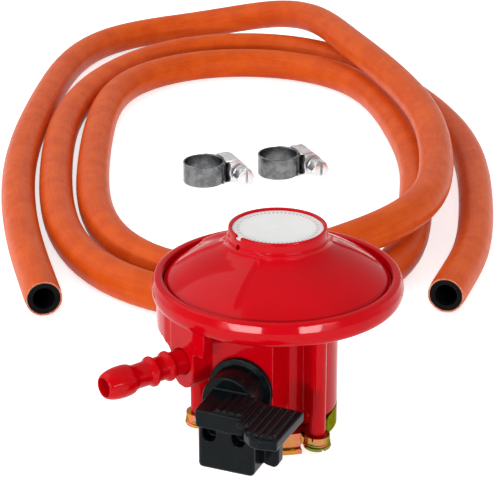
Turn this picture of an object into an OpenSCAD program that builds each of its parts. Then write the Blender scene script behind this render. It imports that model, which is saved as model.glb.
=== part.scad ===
// Clip-on low pressure gas regulator with its hose and two hose clips.
// Millimetres. The socket axis is +Z, and z = 0 is the face that the regulator stands on.
// The viewer's side is -Y.

/* [Casing] */
// Outer diameter of the rolled rim
rim_d = 80; // [76:0.5:84]
// Height of the middle of the rim above the standing face
rim_z = 48; // [46:0.5:54]
// Height of the rolled rim
rim_h = 8; // [7:0.25:9]
// Width of the lip that is rolled over the cover's edge
lip_w = 0.8; // [0.5:0.1:1.2]
// Diameter of the cover's edge
cover_d = 72.2; // [70:0.2:74]
// Wall of the cast cover
cover_wall = 2; // [1.6:0.1:2.6]
// Rise of the cover from its edge to the foot of the spring tower
cover_rise = 10; // [8:0.5:12]
// Diameter of the cast tower below the rim
tower_d = 39.2; // [38:0.2:42]
// Wall of the casing under the diaphragm
floor_wall = 2.2; // [1.8:0.1:2.8]

/* [Spring tower] */
// Outer diameter of the spring tower on the cover
turret_d = 31.2; // [30:0.2:33]
// Height of the spring tower's top above the middle of the rim
turret_rise = 20; // [18:0.5:23]
// Diameter of the round label plate
label_d = 28.8; // [27:0.2:29]
// Thickness of the label plate
label_t = 0.6; // [0.4:0.1:1]
// How deep the label plate lies below the tower's top edge
label_recess = 0.8; // [0.4:0.1:1.2]
// Diameter of the adjusting plug's thread
plug_d = 25; // [22:0.5:26]

/* [Cylinder socket] */
// Diameter of the socket that goes over the cylinder valve
socket_d = 27.2; // [26.8:0.1:28]
// Depth of the socket's guiding wall
socket_depth = 14; // [12:0.5:15]
// Height of the space above the guiding wall
chamber_h = 6; // [5:0.5:7]
// Diameter of the latch balls
ball_d = 4.4; // [3.6:0.1:4.6]
// Height of the latch balls above the standing face
ball_z = 10; // [9.5:0.25:10.5]

/* [Base cup and feet] */
// Height of the plated base cup
cup_h = 6.7; // [6:0.1:8]
// Thickness of the base cup's ears
ear_t = 2.2; // [1.6:0.1:2.6]
// Radius at which the three pillars stand
pillar_r = 26.4; // [25.5:0.1:28]
// Diameter of a pillar
pillar_d = 5.2; // [4.8:0.1:6]
// Diameter of a foot screw's head
foot_head_d = 8.8; // [8:0.2:9.4]
// Height of a foot screw's head
foot_head_h = 2.5; // [2:0.1:3]

/* [Outlet] */
// Height of the outlet's axis above the standing face
outlet_z = 32.2; // [31.5:0.1:33]
// Direction of the outlet in degrees from +X
outlet_az = -141; // [-143:0.5:-139]
// Distance of the outlet boss's face from the socket axis
boss_reach = 38; // [37:0.5:40]
// Width of the outlet boss
boss_d = 11.6; // [11:0.2:12.4]
// Free length of the hose tail
tail_len = 29; // [27:0.5:34]
// Diameter of the hose tail's stem
tail_d = 7.8; // [7.4:0.1:8.2]
// Diameter of the two rings on the hose tail
tail_ring_d = 9.4; // [9:0.1:9.8]
// Diameter of the bulb at the hose tail's end
tail_bulb_d = 10; // [9.6:0.1:10.6]
// Bore of the hose tail
tail_bore_d = 5.8; // [5:0.1:6.2]

/* [Switch] */
// Direction of the switch's axis in degrees from +X
switch_az = -111.5; // [-113:0.25:-110]
// Height of the switch's axis above the standing face
switch_z = 25; // [24.5:0.25:25.5]
// Distance of the switch block's face from the socket axis
block_reach = 29.5; // [29:0.25:30.5]
// Width of the switch block
block_w = 20.4; // [19.6:0.2:22]
// Diameter of the black bezel behind the switch drum
bezel_d = 20.8; // [20:0.2:22]
// Thickness of the bezel
bezel_t = 2.1; // [1.8:0.1:2.6]
// Diameter of the switch drum
drum_d = 17.2; // [16:0.2:18]
// Distance of the drum's face from the socket axis
drum_reach = 41; // [40.75:0.25:42]
// Diameter of the shaft that the drum turns
shaft_d = 6.6; // [6:0.1:6.8]
// Travel of the inlet plunger over a quarter turn
plunger_travel = 2.5; // [2:0.1:2.6]

/* [Diaphragm and valve] */
// Thickness of the rubber diaphragm's web
diaphragm_t = 0.8; // [0.6:0.1:1]
// Diameter of the upper diaphragm plate
plate_d = 48; // [42:1:50]
// Wire of the main spring
main_wire_d = 1.6; // [1.2:0.1:1.8]
// Mean diameter of the main spring
main_spring_d = 18; // [16:0.5:20]
// Distance from the stem to the rocker's pivot
rocker_arm = 6; // [5.5:0.25:6.5]
// Distance from the rocker's pivot to the jet
jet_arm = 4; // [4:0.25:4.5]

/* [Hose] */
// Outer diameter of the hose
hose_d = 14; // [12.5:0.1:14.2]
// Bore of the hose
hose_bore_d = 8; // [7:0.1:9]
// Length of each straight cut end
hose_end_len = 16; // [12:1:20]

/* [Hose clips] */
// Inner diameter of a clip's band
clip_d = 16.4; // [15.6:0.2:20]
// Width of a clip's band
clip_w = 9; // [8:0.25:10]
// Thickness of a clip's band
clip_t = 0.7; // [0.5:0.05:0.8]
// Length of a clip's screw housing
clip_housing_len = 14; // [12:0.5:15]
// Diameter of a clip's worm screw
clip_worm_d = 6.8; // [6:0.1:7.2]

/* [Hidden] */

$fn = 64;
eps = 0.01;
// Radial gap of a shaft that turns or slides in its bore
running_gap = 0.06;
// Gap of a piece that is pushed into its seat and stays there
seat_gap = 0.1;
// How far a cutting solid passes the face that it opens
cut = 1;

// Casing heights
rim_r = rim_d / 2;
rim_half = rim_h / 2;
rim_bottom = rim_z - rim_half;
rim_top = rim_z + rim_half;
lip_z = rim_top - 1;
bead_t = diaphragm_t + 0.4;
cover_edge_t = 2;
cover_edge_bottom = lip_z - cover_edge_t;
bead_seat_z = cover_edge_bottom - bead_t;
crimp_r = cover_d / 2 + 0.2;
bead_r = 33;
floor_z = rim_bottom + 0.3;
under_z = floor_z - floor_wall;
tower_r = tower_d / 2;

// Cover: a spherical cap through its foot ring and the foot of the spring tower
cap_foot_r = cover_d / 2 - 1.5;
cap_foot_z = lip_z + 0.4;
cap_top_r = turret_d / 2 + 0.4;
cap_top_z = cap_foot_z + cover_rise;
cap_centre_z = (pow(cap_foot_r, 2) - pow(cap_top_r, 2) + pow(cap_foot_z, 2) - pow(cap_top_z, 2))
    / (2 * (cap_foot_z - cap_top_z));
cap_r = norm([cap_foot_r, cap_foot_z - cap_centre_z]);

// Ribs on the cover: heading, length, width, height above the cap
COVER_RIBS = [[145, 17, 5.2, 1], [178, 19, 1.6, 0.5], [16, 20, 1.4, 0.45], [-110, 3.4, 2, 0.9]];

// Spring tower
turret_r = turret_d / 2;
// Tab of the label in the notch of the tower's rim
tab_az = -143;
tab_w = 2.6;
turret_top = rim_z + turret_rise;
label_top = turret_top - label_recess;
label_seat = label_top - label_t;
plug_top = label_seat - 0.8;
plug_h = 4.5;
plug_bottom = plug_top - plug_h;

// Socket and inlet
socket_r = socket_d / 2;
skirt_r = socket_r + 3;
chamber_r = socket_r - 1.2;
chamber_top = socket_depth + chamber_h;
inlet_boss_r = 7;
inlet_boss_z = socket_depth + 0.6;
seal_in_r = 2.6;
seal_out_r = 5.5;
seal_t = 1.4;
seal_recess = 1;
plunger_r = 4;
plunger_pin_r = 1.5;
guide_r = plunger_r + running_gap;
guide_bottom = inlet_boss_z + seal_recess + 0.9;
crank_r = plunger_travel / sqrt(2);
crank_lift = plunger_travel / 2;
crank_pin_r = 1.2;
slot_half = crank_pin_r + 0.15;
slot_z = switch_z + crank_lift;
plunger_top = slot_z + slot_half + 1;
plunger_bottom = slot_z - slot_half - 3;
guide_top = plunger_top + 2.4;
well_floor = guide_top + 2.5;
well_r = 15.5;
plunger_tip = inlet_boss_z + 0.3;

// Latch balls
ball_r = ball_d / 2;
ball_centre_r = socket_r + ball_r + 0.1;
ball_hole_r = ball_r + 0.05;
// Lip at a cage's mouth that keeps its ball from falling out
ball_lip = 0.3;
ball_mouth_r = ball_r - 0.3;
ball_az = [0, 120, 200];

// Base cup, pillars and feet
pillar_az = [-61, 68, 198];
pillar_rad = pillar_d / 2;
ear_r = 4;
cup_in_r = skirt_r + seat_gap;
cup_lobe_r = 24.3;
cup_lip_r = 25.4;
cup_lip_h = 1.5;
lobe_from = -126;
// The lobe stops short of the foot screw's head beside it
lobe_to = pillar_az[0] - asin((foot_head_d / 2 + 0.4) / pillar_r);
foot_thread_r = 1.5;
foot_hole_depth = 9;

// Outlet
boss_r = boss_d / 2;
// Distance of the boss's round lower edge below the outlet's axis
boss_drop = 3.2;
// Wall that hangs from the rim beside the boss, and the fillet between the two
side_wall_r = rim_r - 1.4;
side_wall_t = 3.4;
side_wall_w = 27;
flare_r = 7;
flare_z = outlet_z - 3.7;
tail_seat = 12;
tail_root_r = tail_d / 2 + 0.1;
port_r = tail_bore_d / 2 - 0.1;
port_from = 9;

// Switch
// Shadow gap between the switch block and the base cup
block_foot_gap = 0.4;
shaft_r = shaft_d / 2;
shaft_bore_r = shaft_r + running_gap;
shaft_inner = plunger_r + 0.6;
drum_back = block_reach + bezel_t + 0.2;
shaft_outer = drum_reach - 3;
ring_seal_at = 24;
ring_seal_r = 0.75;
circlip_t = 0.8;
circlip_r = 5.2;
paddle_t = 6;
paddle_top = 4.2;
thumb_t = 3.2;
ridge_count = 10;
ridge_pitch = 2.3;
ridge_first = 2.6;
ridge_w = 1.1;
ridge_h = 0.5;

// Diaphragm stack
web_top = cover_edge_bottom;
web_bottom = web_top - diaphragm_t;
plate_t = 0.8;
stem_r = 2.4;
stem_hole_r = stem_r + seat_gap;
lower_plate_r = plate_d / 2 - 4;
rocker_z = well_floor + 5;
rocker_t = 1.2;
neck_r = 1.5;
neck_top = rocker_z + rocker_t / 2 + 0.6;
neck_bottom = rocker_z - rocker_t / 2 - 0.6;
stem_foot = neck_bottom - 1;
pin_r = 1;
jet_x = rocker_arm + jet_arm;
pad_t = 1.4;
jet_top = rocker_z - rocker_t / 2 - pad_t - 0.95;

// Hose route: control points of a uniform cubic spline, round numbers chosen along the loops.
// The first three and the last three stand in line, so each end leaves straight.
lay_z = hose_d / 2;
HOSE_ROUTE = [
    // left end and the outermost run, away from the viewer
    [-81, 62, 0], [-89, 92, 0], [-97, 122, 0], [-104, 155, 0], [-109.5, 191.5, 0], [-112.5, 231.5, 0],
    [-112, 273.5, 0], [-109.5, 318, 0], [-105, 362, 0], [-92.5, 396, 0], [-70.5, 415.5, 0],
    [-46, 423.5, 1], [-21, 421.5, 6], [2, 409.5, 13], [20.5, 385, 17], [32.5, 347.5, 17], [45, 312.5, 17],
    [55, 283, 16], [61.5, 255.5, 16], [65.5, 226.5, 16], [66, 196.5, 15], [64, 167, 15], [59, 139, 16],
    [46.5, 114.5, 16], [25, 97.5, 14], [-3.5, 90.5, 7], [-31, 97, 0], [-54.5, 114.5, 0], [-69.5, 142.5, 0],
    [-77, 178.5, 0], [-80, 218, 0], [-81.5, 258.5, 0], [-81, 297.5, 0], [-73.5, 329, 0], [-56, 350, 0],
    [-33.5, 361.5, 0], [-9, 363, 0], [15.5, 355, 0], [36, 336, 0], [48, 305, 0], [54.5, 267.5, 0],
    [58.5, 233.5, 0], [59, 204, 0], [56.5, 176, 0], [54, 146, 0], [48, 114.5, 0], [30, 87.5, 0],
    [0.5, 72.5, 0], [-34, 74.5, 0], [-65, 96, 0], [-83, 131.5, 0], [-91.5, 173, 0], [-96, 216.5, 0],
    [-98.5, 260, 0], [-95, 303, 0], [-83.5, 341.5, 0], [-63.5, 371.5, 0], [-38, 388.5, 0],
    [-8.5, 391.5, 0], [20, 381, 0], [42.5, 355.5, 0], [60.5, 320, 0], [74, 283.5, 0], [81.5, 250, 0],
    [83.5, 217.5, 0], [82, 184, 0], [79, 150.5, 0], [74.5, 121, 0], [66.5, 97, 0], [58.5, 73, 0]];
hose_sides = 8;
hose_ring_step = 0.6;

// Clips: place of the ring's centre and direction of the housing
CLIP_LEFT = [-32, 214];
CLIP_RIGHT = [0, 224];
clip_turn = 24;
clip_r = clip_d / 2;
clip_tab = 0.6;
clip_mid_z = clip_tab + clip_w / 2;
clip_band_r = clip_r + clip_t;
clip_tail_r = clip_band_r + clip_t;
clip_worm_r = clip_worm_d / 2;
clip_screw_x = clip_tail_r + clip_worm_r + 0.4;
clip_shell_r = clip_worm_r + running_gap + 0.8;
clip_head_af = 7;
clip_head_h = 6;

// ---------- helpers ----------

// A ring or disc on the socket axis from z = a to z = b
module tube(r_out, r_in, a, b) {
    difference() {
        translate([0, 0, a]) cylinder(r = r_out, h = b - a);
        if (r_in > 0) translate([0, 0, a - cut]) cylinder(r = r_in, h = b - a + 2 * cut);
    }
}

// Places children with +X along a direction in plan
module toward(az) rotate([0, 0, az]) children();

// A rod along +X from distance a to distance b
module rod_x(r, a, b) translate([a, 0, 0]) rotate([0, 90, 0]) cylinder(r = r, h = b - a);

// A cone along +X
module cone_x(r1, r2, a, b) translate([a, 0, 0]) rotate([0, 90, 0]) cylinder(r1 = r1, r2 = r2, h = b - a);

// The switch's frame: +X out along the switch's axis, +Y to the right seen from outside
module at_switch() translate([0, 0, switch_z]) rotate([0, 0, switch_az]) children();

// A wedge in plan between two directions
module wedge(r, from_az, to_az, a, b) {
    reach = r * 1.6;
    mid = (from_az + to_az) / 2;
    translate([0, 0, a]) linear_extrude(b - a) polygon([[0, 0],
        reach * [cos(from_az), sin(from_az)], reach * [cos(mid), sin(mid)],
        reach * [cos(to_az), sin(to_az)]]);
}

// ---------- swept tubes ----------

// A closed tube of flat facets through the given centres; its two ends may be given a heading
module swept_tube(centres, r, sides, first = undef, final = undef) {
    last = len(centres) - 1;
    function heading(i) = let (d = i == 0 && first != undef ? first : i == last && final != undef ? final
        : centres[min(i + 1, last)] - centres[max(i - 1, 0)]) d / norm(d);
    function side_way(i) = let (s = cross([0, 0, 1], heading(i))) s / norm(s);
    function ring(i) = let (s = side_way(i), u = cross(heading(i), s))
        [for (k = [0:sides - 1]) let (a = 360 * (k + 0.5) / sides)
            centres[i] + r * (cos(a) * s + sin(a) * u)];
    points = [for (i = [0:last]) each ring(i)];
    walls = [for (i = [0:last - 1], k = [0:sides - 1])
        let (a = i * sides + k, b = i * sides + (k + 1) % sides)
            each [[a, a + sides, b], [b, a + sides, b + sides]]];
    caps = [for (k = [1:sides - 2])
        each [[0, k, k + 1], [last * sides, last * sides + k + 1, last * sides + k]]];
    polyhedron(points, concat(walls, caps));
}

// Centres of a helical spring's wire between two flat seats
function coil(r, wire_r, low, high, turns, steps = 14) =
    [for (i = [0:turns * steps]) let (t = i / (turns * steps), a = 360 * i / steps)
        [r * cos(a), r * sin(a), low + wire_r + t * (high - low - 2 * wire_r)]];

// Point of the hose's centre line; s counts spline spans from the straight end
function spline_weights(t) = [pow(1 - t, 3), 3 * pow(t, 3) - 6 * pow(t, 2) + 4,
    -3 * pow(t, 3) + 3 * pow(t, 2) + 3 * t + 1, pow(t, 3)] / 6;
hose_spans = len(HOSE_ROUTE) - 3;
function hose_at(s) = let (i = min(floor(s), hose_spans - 1), w = spline_weights(s - i))
    w * [for (k = [0:3]) HOSE_ROUTE[i + k]] + [0, 0, lay_z];
hose_rings = round(hose_spans / hose_ring_step);
HOSE_LINE = [for (i = [0:hose_rings]) hose_at(hose_spans * i / hose_rings)];

// Length of the hose, and its least gap to itself: points along every straight run between two
// rings, against every run that is more than a few rings away
function path_length(p, i = 1) = i >= len(p) ? 0 : norm(p[i] - p[i - 1]) + path_length(p, i + 1);
function to_run(p, a, b) = let (run = b - a, t = min(1, max(0, (p - a) * run / (run * run))))
    norm(p - a - t * run);
points_a_run = 8;
runs_apart = 6;
function least_gap(p) = min([for (i = [0:len(p) - 2], k = [0:points_a_run - 1])
    let (at = p[i] + (p[i + 1] - p[i]) * k / points_a_run)
        each [for (j = [i + runs_apart:1:len(p) - 2]) to_run(at, p[j], p[j + 1])]]) - hose_d;
union() {  // hose_tube
    echo(hose_length_mm = path_length(HOSE_LINE) + 2 * hose_end_len);
    echo(hose_least_gap_to_itself_mm = least_gap(HOSE_LINE));
}

// ---------- casing ----------

// Outer profile of the bowl: a bull-nosed rim on a shallow pan
module bowl_profile() {
    translate([rim_r - rim_half, rim_z]) circle(r = rim_half);
    polygon([[0, under_z], [tower_r + 2, under_z], [rim_r - 7, rim_bottom - 0.4],
        [rim_r - rim_half, rim_bottom], [rim_r - rim_half, rim_top], [0, rim_top]]);
}

// Space inside the bowl: pan, diaphragm seat, crimp groove and lip opening
module bowl_space() {
    polygon([[0, floor_z], [bead_r, floor_z], [bead_r, bead_seat_z], [crimp_r, bead_seat_z],
        [crimp_r, lip_z], [crimp_r - lip_w, lip_z], [crimp_r - lip_w, rim_top + cut],
        [0, rim_top + cut]]);
}

module pillars() {
    for (az = pillar_az) toward(az) {
        translate([pillar_r, 0, cup_h]) cylinder(d = pillar_d, h = rim_bottom - cup_h);
        // web that ties the pillar to the tower
        translate([tower_r - 2, -0.9, cup_h + 5]) cube([pillar_r - tower_r + 2, 1.8, under_z - cup_h - 4]);
    }
}

module foot_holes() {
    for (az = pillar_az) toward(az)
        translate([pillar_r, 0, cup_h - cut]) cylinder(r = foot_thread_r + seat_gap, h = foot_hole_depth + cut);
}

module outlet_boss() toward(outlet_az) {
    // boss with a round lower edge, joined to the pan above it
    translate([tower_r - 6, 0, outlet_z - boss_drop]) rotate([90, 0, 90])
        linear_extrude(boss_reach - tower_r + 6) {
            circle(r = boss_r);
            translate([-boss_r * 0.96, 0])
                square([boss_r * 1.92, rim_bottom + 2 - outlet_z + boss_drop]);
        }
    // wall that hangs from the rim beside the boss, rounded down to it
    intersection() {
        difference() {
            translate([tower_r, -side_wall_w, flare_z + 1])
                cube([boss_reach - tower_r - 0.6, side_wall_w, rim_bottom + 2.6 - flare_z]);
            translate([0, -boss_r * 0.96 - flare_r + 0.2, flare_z]) rotate([90, 0, 90])
                linear_extrude(2 * boss_reach) {
                    circle(r = flare_r);
                    translate([-side_wall_w, -flare_r]) square([side_wall_w, flare_r * 1.99]);
                }
        }
        tube(side_wall_r, side_wall_r - side_wall_t, 0, rim_top);
    }
}

module switch_block() {
    at_switch() translate([8, -block_w / 2, cup_h + block_foot_gap - switch_z])
        cube([block_reach - 8, block_w, rim_bottom - cup_h - block_foot_gap + 0.2]);
}

module rocker_ears() {
    for (side = [-1, 1]) translate([rocker_arm - 2, side * 4.8 - 0.8, well_floor - eps])
        cube([4, 1.6, rocker_z - well_floor + 2 + eps]);
}

module lower_body() color("crimson") difference() {
    union() {
        difference() {
            union() {
                rotate_extrude() bowl_profile();
                tube(tower_r, 0, cup_h, under_z + 1);
                pillars();
                outlet_boss();
                switch_block();
                // square lug under the pan
                toward(-128.5) translate([35, -1.8, rim_bottom - 7.6]) cube([3.3, 3.6, 9.3]);
            }
            rotate_extrude() bowl_space();
            tube(well_r, 0, well_floor, rim_top);
        }
        // skirt that forms the socket
        tube(skirt_r, 0, 0, cup_h + cut);
        rocker_ears();
    }
    // socket, with the space above it round the inlet boss
    translate([0, 0, -cut]) cylinder(r = socket_r, h = socket_depth + cut);
    difference() {
        translate([0, 0, socket_depth - eps]) cylinder(r = chamber_r, h = chamber_h);
        translate([0, 0, inlet_boss_z]) cylinder(r = inlet_boss_r, h = chamber_h + 1);
    }
    // seal recess, plunger guide and its end hole
    translate([0, 0, inlet_boss_z - eps]) cylinder(r = seal_out_r + seat_gap, h = seal_recess + eps);
    translate([0, 0, inlet_boss_z]) cylinder(r = plunger_pin_r + 0.2, h = 5);
    translate([0, 0, guide_bottom]) cylinder(r = guide_r, h = guide_top - guide_bottom);
    // jet seat and its feed from the guide
    translate([jet_x, 0, well_floor - 4]) cylinder(r = 2.25, h = 4 + cut);
    translate([0, 0, well_floor - 3.4]) rod_x(0.9, 0, jet_x);
    // outlet passage and the seat of the hose tail
    toward(outlet_az) translate([0, 0, outlet_z]) {
        rod_x(port_r, port_from, boss_reach);
        rod_x(tail_root_r, boss_reach - tail_seat, boss_reach + cut);
    }
    // shaft bore with its seal groove, and the spot face that the bezel and the drum turn in
    at_switch() {
        rod_x(shaft_bore_r, plunger_r - 1.4, block_reach + cut);
        rod_x(bezel_d / 2 + 0.3, block_reach, drum_reach + cut);
        rod_x(shaft_r + 2 * ring_seal_r + 0.1, ring_seal_at - 0.9, ring_seal_at + 0.9);
    }
    // cages of the latch balls
    for (az = ball_az) toward(az) translate([0, 0, ball_z]) {
        rod_x(ball_mouth_r, socket_r - 2, socket_r + 1);
        rod_x(ball_hole_r, socket_r + ball_lip, ball_centre_r + ball_r + 0.1);
    }
    foot_holes();
    // rocker pin's holes
    translate([rocker_arm, -7, rocker_z]) rotate([-90, 0, 0]) cylinder(r = pin_r + 0.03, h = 14);
}

module cover_profile() {
    // edge that the rim is rolled over
    translate([bead_r, cover_edge_bottom]) square([cover_d / 2 - bead_r, cover_edge_t]);
    // spherical cap
    difference() {
        intersection() {
            translate([0, cap_centre_z]) circle(r = cap_r);
            translate([0, cover_edge_bottom]) square([cap_foot_r, 40]);
        }
        translate([0, cap_centre_z]) circle(r = cap_r - cover_wall);
        translate([-1, -50]) square([bead_r + 1, 50 + cover_edge_bottom]);
    }
    // spring tower with a flared foot
    polygon([[plug_d / 2 + seat_gap, cap_top_z - 1.5], [cap_top_r + 1.4, cap_top_z - 1.5],
        [cap_top_r + 1.4, cap_top_z - 0.4], [turret_r + 0.4, cap_top_z + 0.6],
        [turret_r, cap_top_z + 1.8], [turret_r, turret_top - 0.4], [turret_r - 0.4, turret_top],
        [label_d / 2 + seat_gap, turret_top], [label_d / 2 + seat_gap, label_seat],
        [plug_d / 2 + seat_gap, label_seat]]);
}

module dome_cover() color("crimson") difference() {
    union() {
        difference() {
            rotate_extrude() intersection() {
                cover_profile();
                square([rim_r, turret_top + 10]);
            }
            translate([0, 0, 0]) cylinder(r = plug_d / 2 + seat_gap, h = turret_top + cut);
        }
        // radial ribs and the nib by the tower's foot
        for (rib = COVER_RIBS) intersection() {
            toward(rib[0]) translate([turret_r - 1, -rib[2] / 2, cap_foot_z + 1]) cube([rib[1], rib[2], 14]);
            difference() {
                translate([0, 0, cap_centre_z]) sphere(r = cap_r + rib[3]);
                translate([0, 0, cap_centre_z]) sphere(r = cap_r - cover_wall / 2);
            }
        }
    }
    // notch in the tower's rim for the label's tab
    toward(tab_az) translate([label_d / 2 - 1, -tab_w / 2 - 0.2, label_seat])
        cube([turret_r - label_d / 2 + 2, tab_w + 0.4, 3]);
    // vent through the tower's wall
    toward(-138) translate([0, 0, cap_top_z + 3.2]) rod_x(0.6, plug_d / 2 - 1, turret_r + cut);
}

module label_plate() color("whitesmoke") {
    tube(label_d / 2, 0, label_seat, label_top);
    toward(tab_az) translate([label_d / 2 - 1.5, -tab_w / 2, label_seat + 0.1])
        cube([turret_r - label_d / 2 + 1.1, tab_w, label_t - 0.2]);
}

module adjusting_plug() color("gray") difference() {
    tube(plug_d / 2, 0, plug_bottom, plug_top);
    // hexagon socket for the setting key
    translate([0, 0, plug_top - 3]) cylinder(r = 5, h = 3 + cut, $fn = 6);
}

module main_spring() color("silver")
    swept_tube(coil(main_spring_d / 2, main_wire_d / 2, web_top + plate_t, plug_bottom, 4.5),
        main_wire_d / 2, 6);

// ---------- diaphragm ----------

module diaphragm() color("dimgray") rotate_extrude() {
    fold_r = (bead_r + plate_d / 2) / 2;
    fold_w = (bead_r - plate_d / 2) / 2 - 0.9;
    // bead held between the cover's edge and its seat
    translate([bead_r + 0.1, bead_seat_z]) square([cover_d / 2 - bead_r - 0.2, bead_t]);
    // flat web
    difference() {
        translate([stem_hole_r, web_bottom]) square([bead_r + 0.4 - stem_hole_r, diaphragm_t]);
        translate([fold_r - fold_w, web_bottom - cut]) square([2 * fold_w, diaphragm_t + 2 * cut]);
    }
    // rolling fold that hangs below the web
    intersection() {
        difference() {
            translate([fold_r, web_top]) circle(r = fold_w + diaphragm_t);
            translate([fold_r, web_top]) circle(r = fold_w);
        }
        translate([fold_r - 10, web_top - 10]) square([20, 10]);
    }
}

module upper_plate() color("silver") rotate_extrude() {
    translate([stem_hole_r, web_top]) square([plate_d / 2 - stem_hole_r, plate_t]);
    // turned-up rim that centres the spring
    centring_r = main_spring_d / 2 + main_wire_d / 2 + 0.3;
    translate([centring_r, web_top]) square([plate_t, 2.4]);
}

module lower_plate() color("silver")
    tube(lower_plate_r, stem_hole_r, web_bottom - plate_t, web_bottom);

module diaphragm_stem() color("goldenrod") {
    tube(stem_r, 0, neck_top, web_top + plate_t + 2.8);
    tube(stem_r + 1.4, 0, web_bottom - plate_t - 1, web_bottom - plate_t);
    tube(neck_r, 0, neck_bottom - eps, neck_top + eps);
    tube(stem_r, 0, stem_foot, neck_bottom);
}

module stem_nut() color("goldenrod") difference() {
    translate([0, 0, web_top + plate_t]) cylinder(r = 4.6, h = 2.4, $fn = 6);
    translate([0, 0, web_top]) cylinder(r = stem_r + 0.05, h = 5);
}

// ---------- rocker valve ----------

module rocker_lever() color("lightsteelblue") difference() {
    union() {
        // fork round the stem's neck, with a rounded end
        translate([0, -3.2, rocker_z - rocker_t / 2]) cube([jet_x + 2.2, 6.4, rocker_t]);
        translate([0, -3.2, rocker_z]) rotate([-90, 0, 0]) cylinder(r = rocker_t / 2, h = 6.4);
        translate([rocker_arm, -3.2, rocker_z]) rotate([-90, 0, 0]) cylinder(r = 1.9, h = 6.4);
    }
    translate([-2, -neck_r - 0.25, rocker_z - 2]) cube([4.2, 2 * neck_r + 0.5, 4]);
    translate([rocker_arm, -7, rocker_z]) rotate([-90, 0, 0]) cylinder(r = pin_r + running_gap, h = 14);
}

module rocker_pin() color("silver")
    translate([rocker_arm, -6, rocker_z]) rotate([-90, 0, 0]) cylinder(r = pin_r, h = 12);

module valve_pad() color("dimgray")
    translate([jet_x, 0, rocker_z - rocker_t / 2 - pad_t]) cylinder(r = 1.8, h = pad_t);

module inlet_jet() color("goldenrod") translate([jet_x, 0, 0]) difference() {
    union() {
        translate([0, 0, well_floor - 3.8]) cylinder(r = 2.2, h = 3.8);
        translate([0, 0, well_floor]) cylinder(r = 3, h = 0.9, $fn = 6);
        translate([0, 0, well_floor + 0.9 - eps])
            cylinder(r1 = 2, r2 = 1.1, h = jet_top - well_floor - 0.9 + eps);
    }
    translate([0, 0, well_floor - 5]) cylinder(r = 1.2, h = 4);
    translate([0, 0, well_floor - 5]) cylinder(r = 0.5, h = 12);
}

// ---------- inlet ----------

module inlet_plunger() color("goldenrod") difference() {
    union() {
        tube(plunger_r, 0, plunger_bottom, plunger_top);
        tube(plunger_pin_r, 0, plunger_tip, plunger_bottom + eps);
    }
    // cross slot that the shaft's crank pin works in
    rotate([0, 0, switch_az]) translate([plunger_r - 2.7, -6, slot_z - slot_half])
        cube([4, 12, 2 * slot_half]);
}

module plunger_spring() color("silver")
    swept_tube(coil(2.6, 0.25, guide_bottom, plunger_bottom, 4), 0.25, 6);

module inlet_seal() color("dimgray")
    tube(seal_out_r, seal_in_r, inlet_boss_z + seal_recess - seal_t, inlet_boss_z + seal_recess);

module latch_balls() color("silver")
    for (az = ball_az) toward(az) translate([ball_centre_r, 0, ball_z]) sphere(r = ball_r);

// ---------- base cup and feet ----------

module base_cup() color("goldenrod") difference() {
    union() {
        tube(tower_r, 0, 0, cup_h);
        // front lobe under the switch, with a turned-out lip
        rotate([0, 0, lobe_from]) rotate_extrude(angle = lobe_to - lobe_from)
            polygon([[tower_r - 1, 0], [cup_lip_r, 0], [cup_lip_r, cup_lip_h],
                [cup_lobe_r, cup_lip_h], [cup_lobe_r, cup_h], [tower_r - 1, cup_h]]);
        // ears between the pillars and the foot screws
        for (az = pillar_az) toward(az) {
            translate([pillar_r, 0, cup_h - ear_t]) cylinder(r = ear_r, h = ear_t);
            translate([tower_r - 2, -3, cup_h - ear_t]) cube([pillar_r - tower_r + 2, 6, ear_t]);
        }
    }
    translate([0, 0, -cut]) cylinder(r = cup_in_r, h = cup_h + 2 * cut);
    for (az = pillar_az) toward(az)
        translate([pillar_r, 0, cup_h - ear_t - cut]) cylinder(r = foot_thread_r + 0.15, h = ear_t + 2 * cut);
}

module foot_screws() color("goldenrod") for (az = pillar_az) toward(az)
    translate([pillar_r, 0, cup_h - ear_t - foot_head_h]) difference() {
        union() {
            cylinder(d1 = foot_head_d - 1.2, d2 = foot_head_d, h = 0.7);
            translate([0, 0, 0.7 - eps]) cylinder(d = foot_head_d, h = foot_head_h - 0.7 + eps);
            cylinder(r = foot_thread_r, h = foot_head_h + ear_t + foot_hole_depth - 1);
        }
        // driver slot
        translate([-foot_head_d, -0.6, -cut]) cube([2 * foot_head_d, 1.2, cut + 1]);
    }

// ---------- outlet ----------

module outlet_nozzle() color("crimson") toward(outlet_az) translate([0, 0, outlet_z]) {
    mouth = boss_reach + tail_len;
    bulb_r = tail_bulb_d / 2;
    ring_r = tail_ring_d / 2;
    stem = tail_d / 2;
    difference() {
        union() {
            rod_x(stem, boss_reach - tail_seat + 0.2, mouth - 5);
            // two ring barbs with sloping fronts
            for (at = [boss_reach + 4.6, boss_reach + 10.6]) {
                cone_x(stem, ring_r, at, at + 1);
                rod_x(ring_r, at + 1, at + 2.2);
                cone_x(ring_r, stem, at + 2.2, at + 3.6);
            }
            // bulb: back slope, land and nose
            cone_x(stem, bulb_r, mouth - 10.2, mouth - 7.4);
            rod_x(bulb_r, mouth - 7.4, mouth - 3.4);
            cone_x(bulb_r, bulb_r - 1.3, mouth - 3.4, mouth);
        }
        rod_x(tail_bore_d / 2, boss_reach - tail_seat - cut, mouth + cut);
    }
}

// ---------- switch ----------

module hub_bezel() color("black") at_switch() difference() {
    union() {
        rod_x(bezel_d / 2, block_reach, block_reach + bezel_t - 0.5);
        cone_x(bezel_d / 2, bezel_d / 2 - 0.5, block_reach + bezel_t - 0.5, block_reach + bezel_t);
    }
    rod_x(shaft_r + 0.2, block_reach - cut, block_reach + bezel_t + cut);
    rod_x(circlip_r + 0.2, block_reach - cut, block_reach + circlip_t + 0.2);
}

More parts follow.
